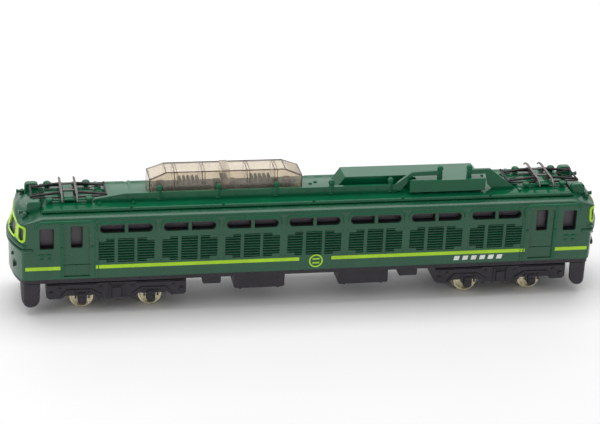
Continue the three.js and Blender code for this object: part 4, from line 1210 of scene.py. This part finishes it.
def pantograph_head(name, middle):
    """Two strips that turn down at their ends, on a frame between the upper arms."""
    strips = Shape()
    carbon = Shape()
    for end in (-1, 1):
        x = middle + end * 2.53
        path = []
        for step in range(25):
            y = -10.35 + 20.7 * step / 24
            drop = max(0.0, (abs(y) - 6.8) / 3.55)
            path.append((x, y, 41.62 - 1.55 * drop ** 2))
        radii = [0.2 + 0.16 * min(1.0, (10.5 - abs(point[1])) / 1.6) for point in path]
        strips.pipe(path, radii, 10)
        carbon.prism(plate(around(x, 0.42), (-6.9, 6.9), 0.2), "z", (41.55, 41.98))
    for side in (-1, 1):
        y = facing(side, (2.5, 3.2))
        strips.prism(plate(around(middle, 3.2), y, 0.2), "z", (HEAD_PIVOT_Z + 0.35, 41.6))
        for end in (-1, 1):
            strips.prism(plate(around(middle + end * ARM_PIVOT_X, 0.4), y, 0.1), "z",
                         (HEAD_PIVOT_Z - 0.35, HEAD_PIVOT_Z + 0.6))
    body = f"pantograph_head_{name}"
    make(strips, f"head_frame_{name}", body, PANTO_ROD, 0.05, [body], smooth=45)
    make(carbon, f"contact_strips_{name}", body, PANTO_ROD, 0.08)


# ---- underframe ----


def equipment(node, feet):
    """A plain box under the frame; the large ones stand on two small wedge feet."""
    low, high = cad(node)
    bottom = low[2] + (0.45 if feet else 0.0)
    outline = plate((low[0], high[0]), (bottom, high[2]), 0.7, top=0)
    box = Shape().prism(outline, "y", (low[1], high[1]))
    if feet:
        wedge = both_sides([(0.25, low[2]), (0.9, bottom + 0.2)])
        for foot in (low[0] + 2.3, high[0] - 2.3):
            box.prism(shifted(wedge, foot), "y", (low[1] + 0.4, high[1] - 0.4))
    make(box, f"{node}_case", "car_body", BLACK, 0.14, [node])


def underframe_fittings():
    """Small bosses along the frame's edge."""
    edge = cad("chassis_frame")[1][1]
    fittings = Shape()
    for side in (-1, 1):
        for x in range(-92, 93, 8):
            fittings.ball((x, side * (edge + 0.02), 12.7), 0.2)
    make(fittings, "frame_fittings", "car_body", BLACK, 0.0, smooth=45)


def end_skirt(name, end):
    """Round-bottomed plates at both corners, tied by a bar behind the nose."""
    node = f"end_skirt_{name}"
    plan = [(93.9, 13.9), (98.3, 13.9), (99.4, 13.4), (100.1, 12.1), (100.5, 9.6), (99.1, 9.4), (98.5, 11.6),
            (97.7, 12.6), (93.9, 12.6)]
    tongue = rounded([(93.9, 11.6, 0), (94.3, 3.0, 3.0), (100.2, 3.0, 3.0), (100.6, 11.6, 0)], 10)
    whole = None
    for side in (-1, 1):
        outline = [(end * x, side * y) for x, y in plan]
        piece = mesh_object(Shape().prism(outline, "z", (2.0, 11.6)), f"skirt_{name}_{side}")
        profile = [(end * x, z) for x, z in tongue]
        carve(piece, [Shape().prism(profile, "y", (-15, 15))], "INTERSECT")
        if whole:
            carve(whole, [shape_of(piece)], "UNION")
        else:
            whole = piece
    bar = Shape().box(facing(end, (97.2, 98.7)), (-12.9, 12.9), (10.0, 11.6))
    carve(whole, [bar], "UNION")
    whole.name = f"corner_skirts_{name}"
    finish_piece(whole, "car_body", BLACK, 0.18, [node], segments=3)


# ---- bogies and wheels ----

def bogie_sides(name, body):
    """Moulded detail over both side plates of a bogie."""
    low, high = cad(f"bogie_frame_{name}")
    centre = (low[0] + high[0]) / 2
    half = (high[0] - low[0]) / 2 + 0.05
    quarter = [(half, 11.45), (half, 6.6), (half - 1.0, 5.85), (18.8, 5.85), (17.6, 6.9), (13.4, 6.9),
               (13.3, 4.6), (12.7, 3.85), (10.8, 3.85), (10.2, 4.6), (10.1, 6.9), (7.4, 6.9),
               (5.9, 4.7), (4.4, 6.2), (3.2, 5.5)]
    arch = [(19.4, 6.6), (17.0, 9.3), (8.6, 9.3), (5.2, 7.2),
            (5.6, 6.7), (8.8, 8.75), (16.7, 8.75), (18.9, 6.3)]
    cap = [(1.0, 14.6), (1.0, 14.95), (0.75, 15.15), (0.3, 15.2), (0, 15.2)]
    boss = [(0.55, 14.0), (0.55, 14.4), (0.35, 14.5), (0, 14.5)]
    frame_line = plate((-half + 0.4, -6.8), (10.7, 11.15))
    for side_name, side in SIDES:
        sheet = Shape().prism(shifted(both_sides(quarter), centre), "y", facing(side, (13.1, 14.12)))
        relief = facing(side, (14.0, 14.55))
        for end in (-1, 1):
            sheet.prism([(centre + end * x, z) for x, z in arch], "y", relief)
            axle_x = centre + end * AXLE_OFFSET
            box = plate(around(axle_x, 1.35), (3.9, 7.6), 1.2, top=0.3)
            sheet.prism(box, "y", facing(side, (14.0, 14.75)))
            sheet.turned(cap, "y", (axle_x, 0, 5.6), side, 20)
            for offset in (-2.3, 2.3):
                sheet.prism(plate(around(axle_x + offset, 0.3), (5.9, 8.3), 0.2), "y", relief)
            pad = plate(facing(end, (21.6, 22.8)), (7.4, 8.6), 0.2)
            sheet.prism(shifted(pad, centre), "y", relief)
            for x, z in ((19.4, 9.6), (5.4, 9.9)):
                sheet.turned(boss, "y", (centre + end * x, 0, z), side, 14)
        sheet.prism(shifted(frame_line, centre), "y", relief)
        sheet.prism(shifted(mirror(frame_line), centre), "y", relief)
        sheet.prism(shifted(plate((-1.5, 1.5), (5.7, 9.6), 0.3), centre), "y", relief)
        for x in (-2.3, 2.3):
            sheet.prism(shifted(plate(around(x, 0.3), (6.0, 10.9), 0.2), centre), "y", relief)
        make(sheet, f"bogie_side_{name}_{side_name}", body, BLACK, 0.06, smooth=40)
        # A near-black plate on the side plate: painted shade standing for the inside of an opening.
        opening = shifted(plate((-1.8, 1.8), (9.9, 10.8), 0.2), centre)
        slot = Shape().prism(opening, "y", facing(side, (14.0, 14.2)))
        make(slot, f"bogie_slot_shade_{name}_{side_name}", body, SHADE_AND_NEAR_BLACK, 0.0)


def wheel(number, side_name, side):
    """A turned wheel with its flange, tread, dished face and hub round the axle."""
    node = f"wheel_{number}_{side_name}"
    low, high = cad(node)
    centre = ((low[0] + high[0]) / 2, 0, AXLE_Z)
    back = min(abs(low[1]), abs(high[1]))
    rim = FLANGE_RADIUS
    profile = [(0.76, 0.0), (2.9, 0.0), (3.1, 0.12), (rim - 0.35, 0.12), (rim - 0.1, 0.2), (rim, 0.42),
               (rim - 0.12, 0.62), (4.45, 0.8), (4.28, 0.95), (4.24, 1.2), (4.16, 2.9), (4.05, 3.08),
               (3.55, 3.1), (3.42, 3.0), (3.3, 2.35), (3.1, 2.2), (1.7, 2.3), (1.5, 2.45), (1.45, 2.9),
               (1.3, 3.0), (0.76, 3.0)]
    sides = 64
    turns = [2 * math.pi * step / sides for step in range(sides)]
    loops = []
    for radius, along in profile:
        y = side * (back + along)
        loops.append([(centre[0] + radius * math.cos(turn), y, centre[2] + radius * math.sin(turn))
                      for turn in turns])
    shape = Shape().loft(loops, closed=True)
    make(shape, f"turned_wheel_{number}_{side_name}", f"wheelset_{number}", NICKEL, 0.0, [node], smooth=30)


# ---- stage ----


def stage():
    """The plain pale floor."""
    size = 4000
    floor = mesh_object(Shape().box((-size, size), (-size, size), (-20, -0.02)), "floor")
    finish = Finish("pale_floor", "green_paint", (0.93, 0.93, 0.93), 0.65)
    finish.tint(finish.noise(0.01, 2.0), 0.01)
    floor.data.materials.append(finish.material)


def area_light(name, place, target, size, power, colour=(1.0, 1.0, 1.0)):
    data = bpy.data.lights.new(name, "AREA")
    data.shape = "RECTANGLE"
    data.size = size[0] * MM
    data.size_y = size[1] * MM
    data.energy = power
    data.color = colour
    light = bpy.data.objects.new(name, data)
    light.location = [c * MM for c in place]
    direction = Vector(target) - Vector(place)
    light.rotation_euler = direction.to_track_quat("-Z", "Y").to_euler()
    bpy.context.scene.collection.objects.link(light)


def lights_and_camera():
    world = bpy.data.worlds.new("studio")
    world.use_nodes = True
    background = world.node_tree.nodes["Background"]
    background.inputs["Color"].default_value = (1.0, 1.0, 1.0, 1.0)
    background.inputs["Strength"].default_value = 0.5
    scene = bpy.context.scene
    scene.world = world
    scene.view_settings.view_transform = "Standard"
    middle = (0, 0, 25)
    area_light("top softbox", (0, 120, 620), middle, (900, 420), 2.8)
    area_light("left softbox", (-700, -260, 420), middle, (420, 420), 1.1)
    area_light("back softbox", (120, 760, 420), middle, (1300, 420), 1.6)
    data = bpy.data.cameras.new("camera")
    data.sensor_fit = "HORIZONTAL"
    data.sensor_width = SENSOR_WIDTH
    data.lens = LENS
    camera = bpy.data.objects.new("camera", data)
    camera.location = CAMERA_PLACE * MM
    camera.rotation_mode = "QUATERNION"
    sight = (CAMERA_TARGET - CAMERA_PLACE).to_track_quat("-Z", "Y")
    camera.rotation_quaternion = sight @ Quaternion((0, 0, 1), CAMERA_ROLL)
    bpy.context.scene.collection.objects.link(camera)
    scene.camera = camera


# ---- finishes of the CAD pieces that show as they are ----

CARRIED = {
    "chassis_frame": BLACK,
    "bogie_frame": BLACK,
    "circuit_board": BOARD,
    "light_guide": CLEAR,
    "lamp_bulb": CLEAR,
    "body_screw": STEEL,
    "bogie_pivot_screw": STEEL,
    "drive_motor": STEEL,
    "axle_gear": GEAR,
    "idler_gear": GEAR,
    "reduction_gear": GEAR,
    "motor_pinion": BRASS,
    "axle_": STEEL,
}


def carried_nodes():
    for node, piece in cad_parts.items():
        for start, material in CARRIED.items():
            if node.startswith(start):
                piece.data.materials.clear()
                piece.data.materials.append(material)
                break


carried_nodes()
body_shell()
for end_name, end_sign in ENDS:
    windscreen_frames(end_name, end_sign)
    cab_panes(end_name, end_sign)
    nose_fittings(end_name, end_sign)
    corner_boxes(end_name, end_sign)
    end_skirt(end_name, end_sign)
    pantograph(end_name)
    bogie_sides(end_name, f"{end_name}_bogie")
for wall_name, wall_sign in SIDES:
    window_inserts(wall_name, wall_sign)
    louvres(wall_name, wall_sign)
    stripes(wall_name, wall_sign)
    side_fittings(wall_name, wall_sign)
    for wheelset in range(1, 5):
        wheel(wheelset, wall_name, wall_sign)
roof_panel()
bus_bars()
roof_box()
hood()
hood_base()
for box_node in ("battery_box_front", "battery_box_rear"):
    equipment(box_node, True)
for box_node in ("air_tank_front", "air_tank_rear"):
    equipment(box_node, False)
underframe_fittings()
stage()
lights_and_camera()
